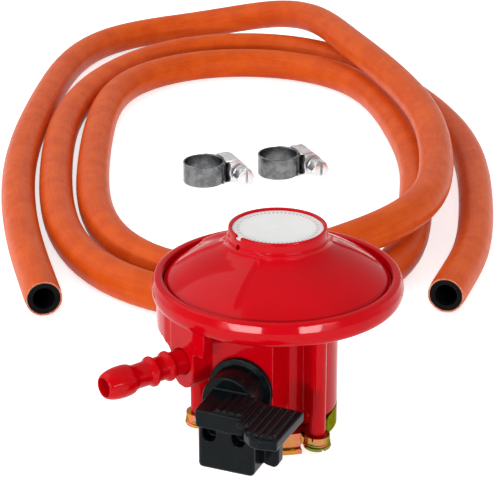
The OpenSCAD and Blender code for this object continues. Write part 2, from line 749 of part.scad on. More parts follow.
// Outline of the paddle seen from above: x is out from the axis, y is to the right
module paddle_outline() polygon([[drum_reach - 3, -5], [drum_reach + 14.6, -4.4],
    [drum_reach + 15.2, 11.2], [drum_reach + 18, 12.6], [drum_reach + 22, 14.6],
    [drum_reach + 24.4, 17.4], [drum_reach + 25, 20.4], [drum_reach + 24, 25.6],
    [drum_reach + 3.4, 26.2], [drum_reach + 2.6, 11], [drum_reach, 7.4], [drum_reach - 3, 7]]);

module switch_lever() color("black") at_switch() difference() {
    union() {
        // drum
        rod_x(drum_d / 2, drum_back, drum_reach - 0.6);
        cone_x(drum_d / 2, drum_d / 2 - 0.6, drum_reach - 0.6, drum_reach);
        // paddle: thick by the drum, thin under the thumb
        translate([0, 0, paddle_top - thumb_t]) linear_extrude(thumb_t) paddle_outline();
        translate([0, 0, paddle_top - paddle_t]) linear_extrude(paddle_t) polygon([
            [drum_reach - 3, -5], [drum_reach + 14.6, -4.4], [drum_reach + 15.2, 11.2],
            [drum_reach + 2.6, 11], [drum_reach, 7.4], [drum_reach - 3, 7]]);
        // grip ridges
        for (k = [0:ridge_count - 1]) {
            across = ridge_first + k * ridge_pitch;
            front = across < 11 ? 14 : across < 15 ? 19.5 : 23;
            back = across < 10 ? 1.2 : 4.4;
            translate([drum_reach + back, across - ridge_w / 2, paddle_top - eps])
                cube([front - back, ridge_w, ridge_h]);
        }
        // block below the paddle, with its stop rib
        translate([drum_reach + 0.6, -3.8, -15.4]) cube([14, 18.2, 15.4 + paddle_top - paddle_t + eps]);
        translate([drum_reach + 4, 3.6, -16.2]) cube([8, 1.8, 1]);
        // second tine, with a cut corner
        translate([drum_reach + 1, 0, 0]) rotate([90, 0, 90]) linear_extrude(4.4)
            polygon([[13.3, -14.4], [13.3, paddle_top - thumb_t + eps], [19, paddle_top - thumb_t + eps],
                [19, -14.6], [17.6, -16], [14.8, -15.4]]);
    }
    // two windows in the block's front
    translate([drum_reach + 11.6, -1.9, -5.6]) cube([4, 4.4, 3.4]);
    translate([drum_reach + 11.6, 7.4, -5.4]) cube([4, 4.2, 3.4]);
    // seat of the shaft
    rod_x(shaft_r + 0.03, drum_back - cut, shaft_outer + 0.2);
}

module switch_shaft() color("silver") at_switch() difference() {
    union() {
        rod_x(shaft_r, shaft_inner, shaft_outer);
        translate([0, -crank_lift, crank_lift]) rod_x(crank_pin_r, plunger_r - 2.4, shaft_inner + eps);
    }
    // groove of the circlip
    difference() {
        rod_x(shaft_r + cut, block_reach + 0.1, block_reach + circlip_t + 0.1);
        rod_x(shaft_r - 0.5, block_reach, block_reach + circlip_t + 1);
    }
}

module shaft_circlip() color("silver") at_switch() difference() {
    rod_x(circlip_r, block_reach + 0.15, block_reach + circlip_t + 0.05);
    rod_x(shaft_r - 0.4, block_reach - cut, block_reach + circlip_t + cut);
    translate([block_reach - cut, -2, 0]) cube([4, 4, 10]);
}

module shaft_seal() color("dimgray") at_switch() translate([ring_seal_at, 0, 0]) rotate([0, 90, 0])
    rotate_extrude() translate([shaft_r + ring_seal_r + 0.04, 0]) circle(r = ring_seal_r);

// ---------- hose ----------

module hose_tube() color("orangered") swept_tube(HOSE_LINE, hose_d / 2, hose_sides,
    first = HOSE_ROUTE[1] - HOSE_ROUTE[0],
    final = HOSE_ROUTE[len(HOSE_ROUTE) - 1] - HOSE_ROUTE[len(HOSE_ROUTE) - 2]);

// A straight cut end with its true bore; it meets the swept tube face to face
module hose_end(at, way) color("orangered") translate(at + [0, 0, lay_z])
    rotate([0, 90, atan2(way[1], way[0])]) difference() {
        cylinder(d = hose_d, h = hose_end_len);
        translate([0, 0, -eps]) cylinder(d = hose_bore_d, h = hose_end_len + cut);
    }

module hose_end_left() hose_end(HOSE_ROUTE[1], HOSE_ROUTE[0] - HOSE_ROUTE[1]);

module hose_end_right() hose_end(HOSE_ROUTE[len(HOSE_ROUTE) - 2],
    HOSE_ROUTE[len(HOSE_ROUTE) - 1] - HOSE_ROUTE[len(HOSE_ROUTE) - 2]);

// ---------- hose clips ----------

module at_clip(place) translate([place[0], place[1], 0]) rotate([0, 0, clip_turn]) children();

module clip_band() color("silver") {
    translate([0, 0, clip_tab]) {
        tube(clip_band_r, clip_r, 0, clip_w);
        // free tail that lies over the ring and runs through the housing
        intersection() {
            tube(clip_tail_r, clip_band_r - eps, 0, clip_w);
            wedge(clip_tail_r, -48, 66, 0, clip_w);
        }
    }
}

// Screw housing: a saddle over the worm with two side tabs that hold the band
module clip_housing() color("silver") difference() {
    half = clip_housing_len / 2;
    union() {
        translate([clip_screw_x, half, clip_mid_z]) rotate([90, 0, 0]) cylinder(r = clip_shell_r, h = clip_housing_len);
        translate([clip_tail_r + 0.05, -half, clip_tab + 0.1])
            cube([clip_screw_x - clip_tail_r, clip_housing_len, clip_w - 0.2]);
        for (z = [0, clip_tab + clip_w]) translate([clip_r - 0.2, -half + 1.5, z])
            cube([clip_screw_x - clip_r, clip_housing_len - 3, clip_tab]);
        for (z = [0, clip_tab + clip_w - 0.9]) translate([clip_tail_r + 0.3, -half + 1.5, z])
            cube([clip_screw_x - clip_tail_r, clip_housing_len - 3, clip_tab + 0.9]);
    }
    translate([clip_screw_x, half + cut, clip_mid_z]) rotate([90, 0, 0])
        cylinder(r = clip_worm_r + running_gap, h = clip_housing_len + 2 * cut);
    translate([0, 0, clip_tab - 0.02]) tube(clip_tail_r + 0.05, 0, 0, clip_w + 0.04);
    // the tabs reach over the ring's edge, short of its bore
    translate([0, 0, -cut]) cylinder(r = clip_band_r - 0.1, h = clip_w + 2 * clip_tab + 2 * cut);
}

module clip_screw() color("silver") difference() {
    half = clip_housing_len / 2;
    head_from = half + 2.5;
    translate([clip_screw_x, 0, clip_mid_z]) rotate([90, 0, 0]) {
        translate([0, 0, -half + 0.8]) cylinder(r = clip_worm_r, h = clip_housing_len - 0.4);
        translate([0, 0, half]) cylinder(r = clip_worm_r - 0.9, h = 3);
        translate([0, 0, head_from]) rotate([0, 0, 30]) cylinder(r = clip_head_af / sqrt(3), h = clip_head_h, $fn = 6);
    }
    // driver slot
    translate([clip_screw_x - 5, -half - 2.5 - clip_head_h - cut, clip_mid_z - 0.6]) cube([10, 2.2 + cut, 1.2]);
}

module left_clip_band() at_clip(CLIP_LEFT) clip_band();
module left_clip_housing() at_clip(CLIP_LEFT) clip_housing();
module left_clip_screw() at_clip(CLIP_LEFT) clip_screw();
module right_clip_band() at_clip(CLIP_RIGHT) clip_band();
module right_clip_housing() at_clip(CLIP_RIGHT) clip_housing();
module right_clip_screw() at_clip(CLIP_RIGHT) clip_screw();

lower_body();
dome_cover();
label_plate();
adjusting_plug();
main_spring();
diaphragm();
upper_plate();
lower_plate();
diaphragm_stem();
stem_nut();
rocker_lever();
rocker_pin();
valve_pad();
inlet_jet();
inlet_plunger();
plunger_spring();
inlet_seal();
latch_balls();
base_cup();
foot_screws();
outlet_nozzle();
hub_bezel();
switch_lever();
switch_shaft();
shaft_circlip();
shaft_seal();
hose_tube();
hose_end_left();
hose_end_right();
left_clip_band();
left_clip_housing();
left_clip_screw();
right_clip_band();
right_clip_housing();
right_clip_screw();
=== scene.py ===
"""Looks of a clip-on gas regulator with its coiled hose and two worm drive clips.

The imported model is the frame: metres, the socket's axis is +Z, the standing face is z = 0 and
the viewer is at -Y. Each sub-assembly is a class whose fields are its sizes in millimetres.
"""

import logging
import math
from collections.abc import Iterable, Iterator, Sequence
from contextlib import contextmanager
from dataclasses import dataclass
from enum import Enum, IntEnum
from itertools import accumulate

import bpy
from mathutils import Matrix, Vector


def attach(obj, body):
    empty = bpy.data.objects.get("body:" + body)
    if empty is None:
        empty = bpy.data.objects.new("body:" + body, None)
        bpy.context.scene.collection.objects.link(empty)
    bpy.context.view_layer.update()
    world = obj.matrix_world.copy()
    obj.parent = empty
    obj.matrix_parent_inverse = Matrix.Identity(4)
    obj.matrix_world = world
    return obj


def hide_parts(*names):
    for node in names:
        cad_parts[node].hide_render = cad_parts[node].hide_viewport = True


logging.basicConfig(level=logging.INFO, format="%(message)s")
LOG = logging.getLogger("regulator")

MM = 0.001
Point = tuple[float, float, float]
Colour = tuple[float, float, float]
Profile = Sequence[tuple[float, float]]
Outline = list[tuple[float, float]]
Piece = bpy.types.Object
Socket = bpy.types.NodeSocket


# ---------------------------------------------------------------- workbench


class Axis(Enum):
    """Way that a rod points, as the turn in radians that brings +Z onto it."""

    X = (0.0, math.pi / 2, 0.0)
    Z = (0.0, 0.0, 0.0)

    @property
    def way(self) -> Vector:
        """Unit vector along the axis."""
        return Vector((1, 0, 0)) if self is Axis.X else Vector((0, 0, 1))


class Cut(Enum):
    """What a tool leaves of the piece that it meets."""

    AWAY = "DIFFERENCE"
    COMMON = "INTERSECT"


def activate(piece: Piece) -> None:
    """Selects one piece alone and makes it active.

    Args:
        piece: The piece.
    """
    bpy.ops.object.select_all(action="DESELECT")
    piece.select_set(True)
    bpy.context.view_layer.objects.active = piece


@contextmanager
def editing(piece: Piece) -> Iterator[None]:
    """Holds a piece in edit mode, with all of it selected at first.

    Args:
        piece: The piece.

    Yields:
        Nothing, while the piece can be edited.
    """
    activate(piece)
    bpy.ops.object.mode_set(mode="EDIT")
    bpy.ops.mesh.select_all(action="SELECT")
    yield
    bpy.ops.object.mode_set(mode="OBJECT")


def apply_place(piece: Piece) -> None:
    """Moves a piece's place and turn into its mesh."""
    activate(piece)
    bpy.ops.object.transform_apply(location=True, rotation=True, scale=True)


def place_at(piece: Piece, turn: Point = (0, 0, 0), at: Point = (0, 0, 0)) -> Piece:
    """Turns a piece, then moves it, and applies both to its mesh.

    Args:
        piece: The piece.
        turn: Euler angles in degrees.
        at: Place in mm.

    Returns:
        The same piece.
    """
    piece.rotation_euler = [math.radians(angle) for angle in turn]
    piece.location = [value * MM for value in at]
    apply_place(piece)
    return piece


def stand_at(piece: Piece, heading: float, height: float = 0.0,
             place: tuple[float, float] = (0.0, 0.0)) -> Piece:
    """Turns a piece made along +X to a heading in degrees and sets it at its place in mm."""
    return place_at(piece, (0, 0, heading), (*place, height))


def link(name: str, data: bpy.types.ID) -> Piece:
    """Makes an object of a mesh, a camera or a lamp and puts it in the scene.

    Args:
        name: Name of the new object.
        data: Its mesh, camera or lamp.

    Returns:
        The new object.
    """
    piece = bpy.data.objects.new(name, data)
    bpy.context.collection.objects.link(piece)
    return piece


def new_piece(name: str, points: Sequence[Point], edges: Sequence[tuple[int, int]] = (),
              faces: Sequence[tuple[int, ...]] = ()) -> Piece:
    """Makes an object from points in metres, joined by edges or faces.

    Args:
        name: Name of the new object and its mesh.
        points: The points.
        edges: Pairs of points.
        faces: Loops of points.

    Returns:
        The new object.
    """
    mesh = bpy.data.meshes.new(name)
    mesh.from_pydata(points, edges, faces)
    return link(name, mesh)


def ring_faces(rings: int, sides: int, closed: bool = False) -> list[tuple[int, ...]]:
    """Joins rings of points with four-sided faces.

    Args:
        rings: Number of rings, one after the other.
        sides: Points in each ring.
        closed: Whether the last ring joins the first.

    Returns:
        The faces, ring by ring.
    """
    faces = []
    for i in range(rings if closed else rings - 1):
        here, there = i * sides, (i + 1) % rings * sides
        for k in range(sides):
            m = (k + 1) % sides
            faces.append((here + k, here + m, there + m, there + k))
    return faces


def rod(name: str, radius: float, start: float, end: float, axis: Axis = Axis.Z,
        at: Point = (0, 0, 0), sides: int = 64) -> Piece:
    """Adds a rod along an axis.

    Args:
        name: Name of the new object.
        radius: Radius in mm.
        start: Distance in mm along the axis where it begins.
        end: Distance in mm along the axis where it ends.
        axis: Axis of the rod.
        at: Point in mm that the axis passes through.
        sides: Number of flats round it.

    Returns:
        The new object, with its place in its mesh.
    """
    centre = (Vector(at) + axis.way * (start + end) / 2) * MM
    bpy.ops.mesh.primitive_cone_add(vertices=sides, radius1=radius * MM, radius2=radius * MM,
                                    depth=(end - start) * MM, location=centre,
                                    rotation=axis.value)
    piece = bpy.context.object
    piece.name = name
    apply_place(piece)
    return piece


def block(name: str, low: Point, high: Point, bevel: float = 0.0) -> Piece:
    """Adds a cube between two corners, with rounded edges.

    Args:
        name: Name of the new object.
        low: Lowest corner in mm.
        high: Highest corner in mm.
        bevel: Radius in mm of its edges, or 0.

    Returns:
        The new object, with its place in its mesh.
    """
    middle = (Vector(low) + Vector(high)) / 2 * MM
    bpy.ops.mesh.primitive_cube_add(size=1, location=middle)
    piece = bpy.context.object
    piece.name = name
    piece.scale = (Vector(high) - Vector(low)) * MM
    apply_place(piece)
    if bevel:
        round_edges(piece, bevel, segments=3)
    return piece


def plate(name: str, outline: Profile, low: float, high: float, bevel: float) -> Piece:
    """Draws a flat outline, extrudes it upwards and rounds its edges.

    Args:
        name: Name of the new object.
        outline: Points in mm, anticlockwise seen from above.
        low: Height in mm of its underside.
        high: Height in mm of its top.
        bevel: Radius in mm of its edges.

    Returns:
        The new object.
    """
    piece = new_piece(name, [(x * MM, y * MM, low * MM) for x, y in outline],
                      faces=[tuple(reversed(range(len(outline))))])
    rise = (0, 0, (high - low) * MM)
    with editing(piece):
        bpy.ops.mesh.extrude_region_move(TRANSFORM_OT_translate={"value": rise})
        bpy.ops.mesh.select_all(action="SELECT")
        bpy.ops.mesh.normals_make_consistent(inside=False)
    round_edges(piece, bevel, segments=3, angle=25)
    return piece


def turned(name: str, profile: Profile, steps: int = 96) -> Piece:
    """Spins a profile round the Z axis, as on a lathe.

    Args:
        name: Name of the new object.
        profile: Radius and height pairs in mm, in order along the outline.
        steps: Number of steps in the spin.

    Returns:
        The new object.
    """
    points = [(r * MM, 0.0, z * MM) for r, z in profile]
    piece = new_piece(name, points, [(i, i + 1) for i in range(len(points) - 1)])
    with editing(piece):
        bpy.ops.mesh.spin(steps=steps, angle=math.tau, center=(0, 0, 0), axis=(0, 0, 1))
        bpy.ops.mesh.select_all(action="SELECT")
        bpy.ops.mesh.remove_doubles(threshold=0.002 * MM)
        bpy.ops.mesh.normals_make_consistent(inside=False)
    return piece


def turned_x(name: str, profile: Profile, steps: int = 64) -> Piece:
    """Spins a profile of radius and distance pairs in mm round the X axis."""
    return place_at(turned(name, profile, steps), (0, 90, 0))


def apply_modifier(piece: Piece, kind: str, **values: object) -> None:
    """Adds one modifier and applies it.

    Args:
        piece: The piece.
        kind: Kind of modifier.
        **values: The modifier's settings.
    """
    activate(piece)
    modifier = piece.modifiers.new(kind.lower(), kind)
    for key, value in values.items():
        setattr(modifier, key, value)
    bpy.ops.object.modifier_apply(modifier=modifier.name)


def round_edges(piece: Piece, radius: float, segments: int = 2, angle: float = 35) -> None:
    """Bevels a piece's sharp edges.

    Args:
        piece: The piece.
        radius: Width in mm of the bevel.
        segments: Number of its segments.
        angle: Least angle in degrees of an edge that is bevelled.
    """
    apply_modifier(piece, "BEVEL", width=radius * MM, segments=segments, limit_method="ANGLE",
                   angle_limit=math.radians(angle), use_clamp_overlap=True, harden_normals=False)


def cut(piece: Piece, tool: Piece, kind: Cut = Cut.AWAY) -> None:
    """Takes a closed tool out of a closed piece, or keeps what they share, and drops the tool."""
    apply_modifier(piece, "BOOLEAN", object=tool, operation=kind.value, solver="MANIFOLD")
    bpy.data.objects.remove(tool)


def join_all(name: str, parts: Sequence[Piece]) -> Piece:
    """Joins several objects into one mesh.

    Args:
        name: Name of the joined object.
        parts: The objects.

    Returns:
        The joined object.
    """
    activate(parts[0])
    for part in parts:
        part.select_set(True)
    bpy.ops.object.join()
    piece = bpy.context.object
    piece.name = name
    return piece


def cast(piece: Piece, voxel: float, rounds: int) -> None:
    """Fuses a piece's overlapping parts and softens every edge and corner, as a casting has.

    Args:
        piece: The piece, made of closed parts.
        voxel: Size in mm of the grid.
        rounds: Number of smoothing rounds.
    """
    apply_modifier(piece, "REMESH", mode="VOXEL", voxel_size=voxel * MM)
    apply_modifier(piece, "SMOOTH", factor=0.5, iterations=rounds)


def smooth(piece: Piece, angle: float) -> None:
    """Shades a piece smooth, with creases above an angle in degrees."""
    activate(piece)
    bpy.ops.object.shade_smooth_by_angle(angle=math.radians(angle))


def superellipse(centre: tuple[float, float], radii: tuple[float, float], power: float,
                 start: float, end: float, count: int) -> Outline:
    """Draws part of a rounded, slightly squared outline.

    Args:
        centre: Its centre in mm.
        radii: Its half width and half height in mm.
        power: 2 for an ellipse, more for a squarer outline.
        start: Angle in degrees where it begins.
        end: Angle in degrees where it ends.
        count: Number of steps.

    Returns:
        The points in mm.
    """
    points = []
    for k in range(count + 1):
        angle = math.radians(start + (end - start) * k / count)
        c, s = math.cos(angle), math.sin(angle)
        points.append((centre[0] + radii[0] * math.copysign(abs(c) ** (2 / power), c),
                       centre[1] + radii[1] * math.copysign(abs(s) ** (2 / power), s)))
    return points


def shifted(radius: float, height: float, *points: tuple[float, float]) -> Outline:
    """Moves points of an outline out and up by a radius and a height in mm."""
    return [(radius + r, height + z) for r, z in points]


def ease(value: float) -> float:
    """Smooth step of a value from 0 to 1."""
    value = min(1.0, max(0.0, value))
    return value * value * (3 - 2 * value)


def copy_of(node: str, name: str) -> Piece:
    """Copies a CAD node's mesh, welds its loose triangles and merges the flat ones.

    Args:
        node: Name of the CAD node.
        name: Name of the new object.

    Returns:
        The new object.
    """
    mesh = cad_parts[node].data.copy()
    mesh.name = name
    mesh.materials.clear()
    piece = link(name, mesh)
    with editing(piece):
        bpy.ops.mesh.remove_doubles(threshold=0.005 * MM)
        bpy.ops.mesh.dissolve_limited(angle_limit=math.radians(1.0))
    return piece


# ---------------------------------------------------------------- finishes


class Nodes:
    """Adds and links shader nodes in one tree."""

    def __init__(self, tree: bpy.types.NodeTree) -> None:
        """Keeps the tree."""
        self.tree = tree

    def add(self, kind: str, **values: object) -> bpy.types.Node:
        """Adds a node.

        Args:
            kind: Kind of node.
            **values: Its properties, and in inputs its values or links by name or number.

        Returns:
            The new node.
        """
        node = self.tree.nodes.new("ShaderNode" + kind)
        inputs = values.pop("inputs", {})
        for key, value in values.items():
            setattr(node, key, value)
        for key, value in inputs.items():
            if isinstance(value, Socket):
                self.tree.links.new(value, node.inputs[key])
            else:
                node.inputs[key].default_value = value
        return node

    def math(self, operation: str, *values: object) -> Socket:
        """Adds a Math node over numbers or sockets and returns its output."""
        return self.add("Math", operation=operation, inputs=dict(enumerate(values))).outputs[0]

    def mix(self, factor: object, first: object, second: object) -> Socket:
        """Mixes two colours and returns the result."""
        node = self.add("Mix", data_type="RGBA", inputs={0: factor, 6: first, 7: second})
        return node.outputs[2]

    def ramp(self, value: object, low: object, high: object, bottom: float = 0.0,
             top: float = 1.0) -> Socket:
        """Maps a value smoothly from one range to another.

        Args:
            value: The value.
            low: Start of its range.
            high: End of its range.
            bottom: Result at the start.
            top: Result at the end.

        Returns:
            The result.
        """
        node = self.add("MapRange", interpolation_type="SMOOTHSTEP",
                        inputs={0: value, 1: low, 2: high, 3: bottom, 4: top})
        return node.outputs[0]


GroupStart = tuple[Nodes, Sequence[Socket], Socket, Socket]


def rgba(colour: Colour) -> tuple[float, float, float, float]:
    """Adds an alpha of 1 to a colour."""
    return (*colour, 1.0)


def new_material(name: str) -> tuple[bpy.types.Material, Nodes, bpy.types.Node]:
    """Makes a material.

    Args:
        name: Its name.

    Returns:
        The material, its nodes and its shader.
    """
    material = bpy.data.materials.new(name)
    material.use_nodes = True
    return material, Nodes(material.node_tree), material.node_tree.nodes["Principled BSDF"]


class Effect(Enum):
    """Node groups that several finishes share."""

    GRAIN = "fine_grain"
    MOTTLE = "colour_mottle"
    RUBBED = "rubbed_edges"

    def start(self, output: str, kind: str, **inputs: object) -> GroupStart:
        """Opens the node group with its named sockets.

        Args:
            output: Name of its output.
            kind: Kind of its output, Float or Color.
            **inputs: Each input's value, a number or a colour.

        Returns:
            The group's nodes, its inputs, the object's coordinates and the group's output.
        """
        tree = bpy.data.node_groups.new(self.value, "ShaderNodeTree")
        for name, value in inputs.items():
            shape = "Float" if isinstance(value, float) else "Color"
            item = tree.interface.new_socket(name=name.replace("_", " "), in_out="INPUT",
                                             socket_type="NodeSocket" + shape)
            item.default_value = value
        tree.interface.new_socket(name=output, in_out="OUTPUT", socket_type="NodeSocket" + kind)
        n = Nodes(tree)
        place = n.add("TexCoord").outputs["Object"]
        end = tree.nodes.new("NodeGroupOutput").inputs[0]
        return n, tree.nodes.new("NodeGroupInput").outputs, place, end


def build_effects() -> dict[Effect, bpy.types.NodeTree]:
    """Builds the shared node groups once.

    Returns:
        The group of each effect.
    """
    groups: dict[Effect, bpy.types.NodeTree] = {}

    n, given, place, end = Effect.GRAIN.start("Height", "Float", Scale=900.0, Coarse=0.25)
    fine = n.add("TexNoise", inputs={"Vector": place, "Scale": given[0], "Detail": 2.0})
    broad = n.add("TexNoise", inputs={"Vector": place, "Detail": 1.0,
                                      "Scale": n.math("MULTIPLY", given[0], given[1])})
    total = n.math("ADD", n.math("MULTIPLY", fine.outputs[0], 0.45),
                   n.math("MULTIPLY", broad.outputs[0], 0.55))
    n.tree.links.new(total, end)
    groups[Effect.GRAIN] = n.tree

    n, given, place, end = Effect.MOTTLE.start(
        "Colour", "Color", Colour=(0.5, 0.5, 0.5, 1), Other_colour=(0.4, 0.4, 0.4, 1),
        Scale=120.0, Sharpness=0.5)
    cloud = n.add("TexNoise", inputs={"Vector": place, "Scale": given[2], "Detail": 4.0,
                                      "Roughness": 0.6})
    low = n.math("MULTIPLY_ADD", given[3], 0.18, 0.3)
    high = n.math("MULTIPLY_ADD", given[3], -0.18, 0.7)
    mask = n.ramp(cloud.outputs[0], low, high)
    n.tree.links.new(n.mix(mask, given[0], given[1]), end)
    groups[Effect.MOTTLE] = n.tree

    n, given, place, end = Effect.RUBBED.start("Mask", "Float", Spread=0.06, Scale=700.0)
    flat = 0.515  # pointiness of a face that is all but flat
    edge = n.add("MapRange", inputs={
        0: n.add("NewGeometry").outputs["Pointiness"], 1: flat,
        2: n.math("ADD", flat, given[0]), 3: 0.0, 4: 1.0}).outputs[0]
    speck = n.add("TexNoise", inputs={"Vector": place, "Scale": given[1], "Detail": 3.0})
    n.tree.links.new(n.math("MULTIPLY", edge, n.ramp(speck.outputs[0], 0.35, 0.6)), end)
    groups[Effect.RUBBED] = n.tree
    return groups


@dataclass(frozen=True)
class Finish:
    """A surface finish that is mottled, grained and a little rubbed on its edges.

    Colours are linear. Scales are in 1/m, and heights in mm.
    """

    colour: Colour
    other: Colour
    mottle_scale: float = 120.0
    sharpness: float = 0.5
    roughness: float = 0.4
    roughness_swing: float = 0.08
    metallic: float = 0.0
    coat: float = 0.0
    coat_roughness: float = 0.1
    grain_scale: float = 900.0
    grain_height: float = 0.01
    grain_strength: float = 0.6
    grain_span: tuple[float, float] = (0.3, 0.7)
    rub: float = 0.0
    rub_spread: float = 0.05
    rub_colour: Colour = (0.5, 0.5, 0.5)
    specular: float = 0.5
    edge_tint: Colour = (1.0, 1.0, 1.0)

    def build(self, name: str) -> bpy.types.Material:
        """Builds the material.

        Args:
            name: Its name.

        Returns:
            The new material.
        """
        material, n, shader = new_material(name)
        for socket, value in (("Metallic", self.metallic), ("Coat Weight", self.coat),
                              ("Coat Roughness", self.coat_roughness),
                              ("Specular IOR Level", self.specular),
                              ("Specular Tint", rgba(self.edge_tint))):
            shader.inputs[socket].default_value = value
        mottle = n.add("Group", node_tree=EFFECTS[Effect.MOTTLE], inputs={
            "Colour": rgba(self.colour), "Other colour": rgba(self.other),
            "Scale": self.mottle_scale, "Sharpness": self.sharpness})
        colour = self.pattern(n, mottle.outputs[0])
        if self.rub:
            rubbed = n.add("Group", node_tree=EFFECTS[Effect.RUBBED],
                           inputs={"Spread": self.rub_spread})
            mask = n.math("MULTIPLY", rubbed.outputs[0], self.rub)
            colour = n.mix(mask, colour, rgba(self.rub_colour))
        n.tree.links.new(colour, shader.inputs["Base Color"])
        grain = n.add("Group", node_tree=EFFECTS[Effect.GRAIN], inputs={"Scale": self.grain_scale})
        bump = n.add("Bump", inputs={
            "Strength": self.grain_strength, "Distance": self.grain_height * MM,
            "Height": self.relief(n, grain.outputs[0])})
        n.tree.links.new(bump.outputs[0], shader.inputs["Normal"])
        low, high = self.grain_span
        rough = n.add("MapRange", inputs={
            0: grain.outputs[0], 1: low, 2: high, 3: self.roughness - self.roughness_swing,
            4: self.roughness + self.roughness_swing})
        n.tree.links.new(rough.outputs[0], shader.inputs["Roughness"])
        return material

    def pattern(self, n: Nodes, colour: Socket) -> Socket:
        """Lays a finish's own pattern over its mottled colour."""
        return colour

    def relief(self, n: Nodes, height: Socket) -> Socket:
        """Adds a finish's own relief to its grain."""
        return height


@dataclass(frozen=True)
class LabelFilm(Finish):
    """A blank satin label with a generic ring of scale ticks near its edge."""

    ring: float = 12.6
    tick: float = 0.55
    count: int = 60
    stroke: float = 0.3
    ink: Colour = (0.25, 0.25, 0.26)
    ink_strength: float = 0.75

    def pattern(self, n: Nodes, colour: Socket) -> Socket:
        """Prints the ring of ticks.

        Args:
            n: The material's nodes.
            colour: Colour of the film.

        Returns:
            The colour with the ticks.
        """
        place = n.add("SeparateXYZ", inputs={0: n.add("TexCoord").outputs["Object"]})
        x, y = place.outputs[0], place.outputs[1]
        reach = n.math("SQRT", n.math("ADD", n.math("MULTIPLY", x, x), n.math("MULTIPLY", y, y)))
        off_ring = n.math("ABSOLUTE", n.math("SUBTRACT", reach, self.ring * MM))
        on_ring = n.math("LESS_THAN", off_ring, self.tick * MM)
        turn = n.math("MULTIPLY", n.math("ARCTAN2", y, x), self.count / math.tau)
        # a whole number of ticks added keeps the fraction of a negative turn positive
        share = n.math("FRACT", n.math("ADD", turn, 100.0))
        on_tick = n.math("LESS_THAN", share, self.stroke)
        mask = n.math("MULTIPLY", n.math("MULTIPLY", on_ring, on_tick), self.ink_strength)
        return n.mix(mask, colour, rgba(self.ink))


@dataclass(frozen=True)
class BrushedBand(Finish):
    """Bright strip metal with fine lines along the strip."""

    line_scale: Point = (60.0, 60.0, 2600.0)
    line_height: float = 0.8

    def relief(self, n: Nodes, height: Socket) -> Socket:
        """Adds lines that run round the band, level with the floor.

        Args:
            n: The material's nodes.
            height: Height of the grain.

        Returns:
            The height with the lines.
        """
        place = n.add("TexCoord").outputs["Object"]
        stretch = n.add("Mapping", inputs={"Vector": place, "Scale": self.line_scale})
        lines = n.add("TexNoise", inputs={"Vector": stretch.outputs[0], "Scale": 1.0,
                                          "Detail": 1.0})
        return n.math("ADD", height, n.math("MULTIPLY", lines.outputs[0], self.line_height))


@dataclass(frozen=True)
class IridescentZinc(Finish):
    """Yellow chromated zinc, which shifts to green in soft patches.

    Most patches lie beyond a distance in m towards +X.
    """

    green: Colour = (0.13, 0.22, 0.028)
    patch_scale: float = 95.0
    patch_span: tuple[float, float] = (0.6, 0.74)
    side_span: tuple[float, float] = (0.013, 0.02)
    side_gain: float = 0.3

    def pattern(self, n: Nodes, colour: Socket) -> Socket:
        """Lays green patches over the gold and pink.

        Args:
            n: The material's nodes.
            colour: Colour of the plating.

        Returns:
            The colour with the patches.
        """
        place = n.add("TexCoord").outputs["Object"]
        cloud = n.add("TexNoise", inputs={"Vector": place, "Scale": self.patch_scale,
                                          "Detail": 2.0})
        across = n.add("SeparateXYZ", inputs={0: place}).outputs[0]
        side = n.math("MULTIPLY_ADD", n.ramp(across, *self.side_span), self.side_gain,
                      cloud.outputs[0])
        return n.mix(n.ramp(side, *self.patch_span), colour, rgba(self.green))


@dataclass(frozen=True)
class HoseCover(Finish):
    """Extruded orange rubber: fine lengthwise streaks over a soft mottle."""

    streak: Colour = (0.8, 0.18, 0.04)
    streak_scale: Point = (60.0, 60.0, 1.0)
    streak_span: tuple[float, float] = (0.4, 0.7)
    streak_strength: float = 0.22

    def pattern(self, n: Nodes, colour: Socket) -> Socket:
        """Streaks the colour along the hose, by the hose's own map.

        Args:
            n: The material's nodes.
            colour: Colour of the rubber.

        Returns:
            The colour with the streaks.
        """
        place = n.add("UVMap", uv_map="along").outputs[0]
        stretch = n.add("Mapping", inputs={"Vector": place, "Scale": self.streak_scale})
        noise = n.add("TexNoise", inputs={"Vector": stretch.outputs[0], "Scale": 1.0,
                                          "Detail": 3.0})
        mask = n.math("MULTIPLY", n.ramp(noise.outputs[0], *self.streak_span),
                      self.streak_strength)
        return n.mix(mask, colour, rgba(self.streak))


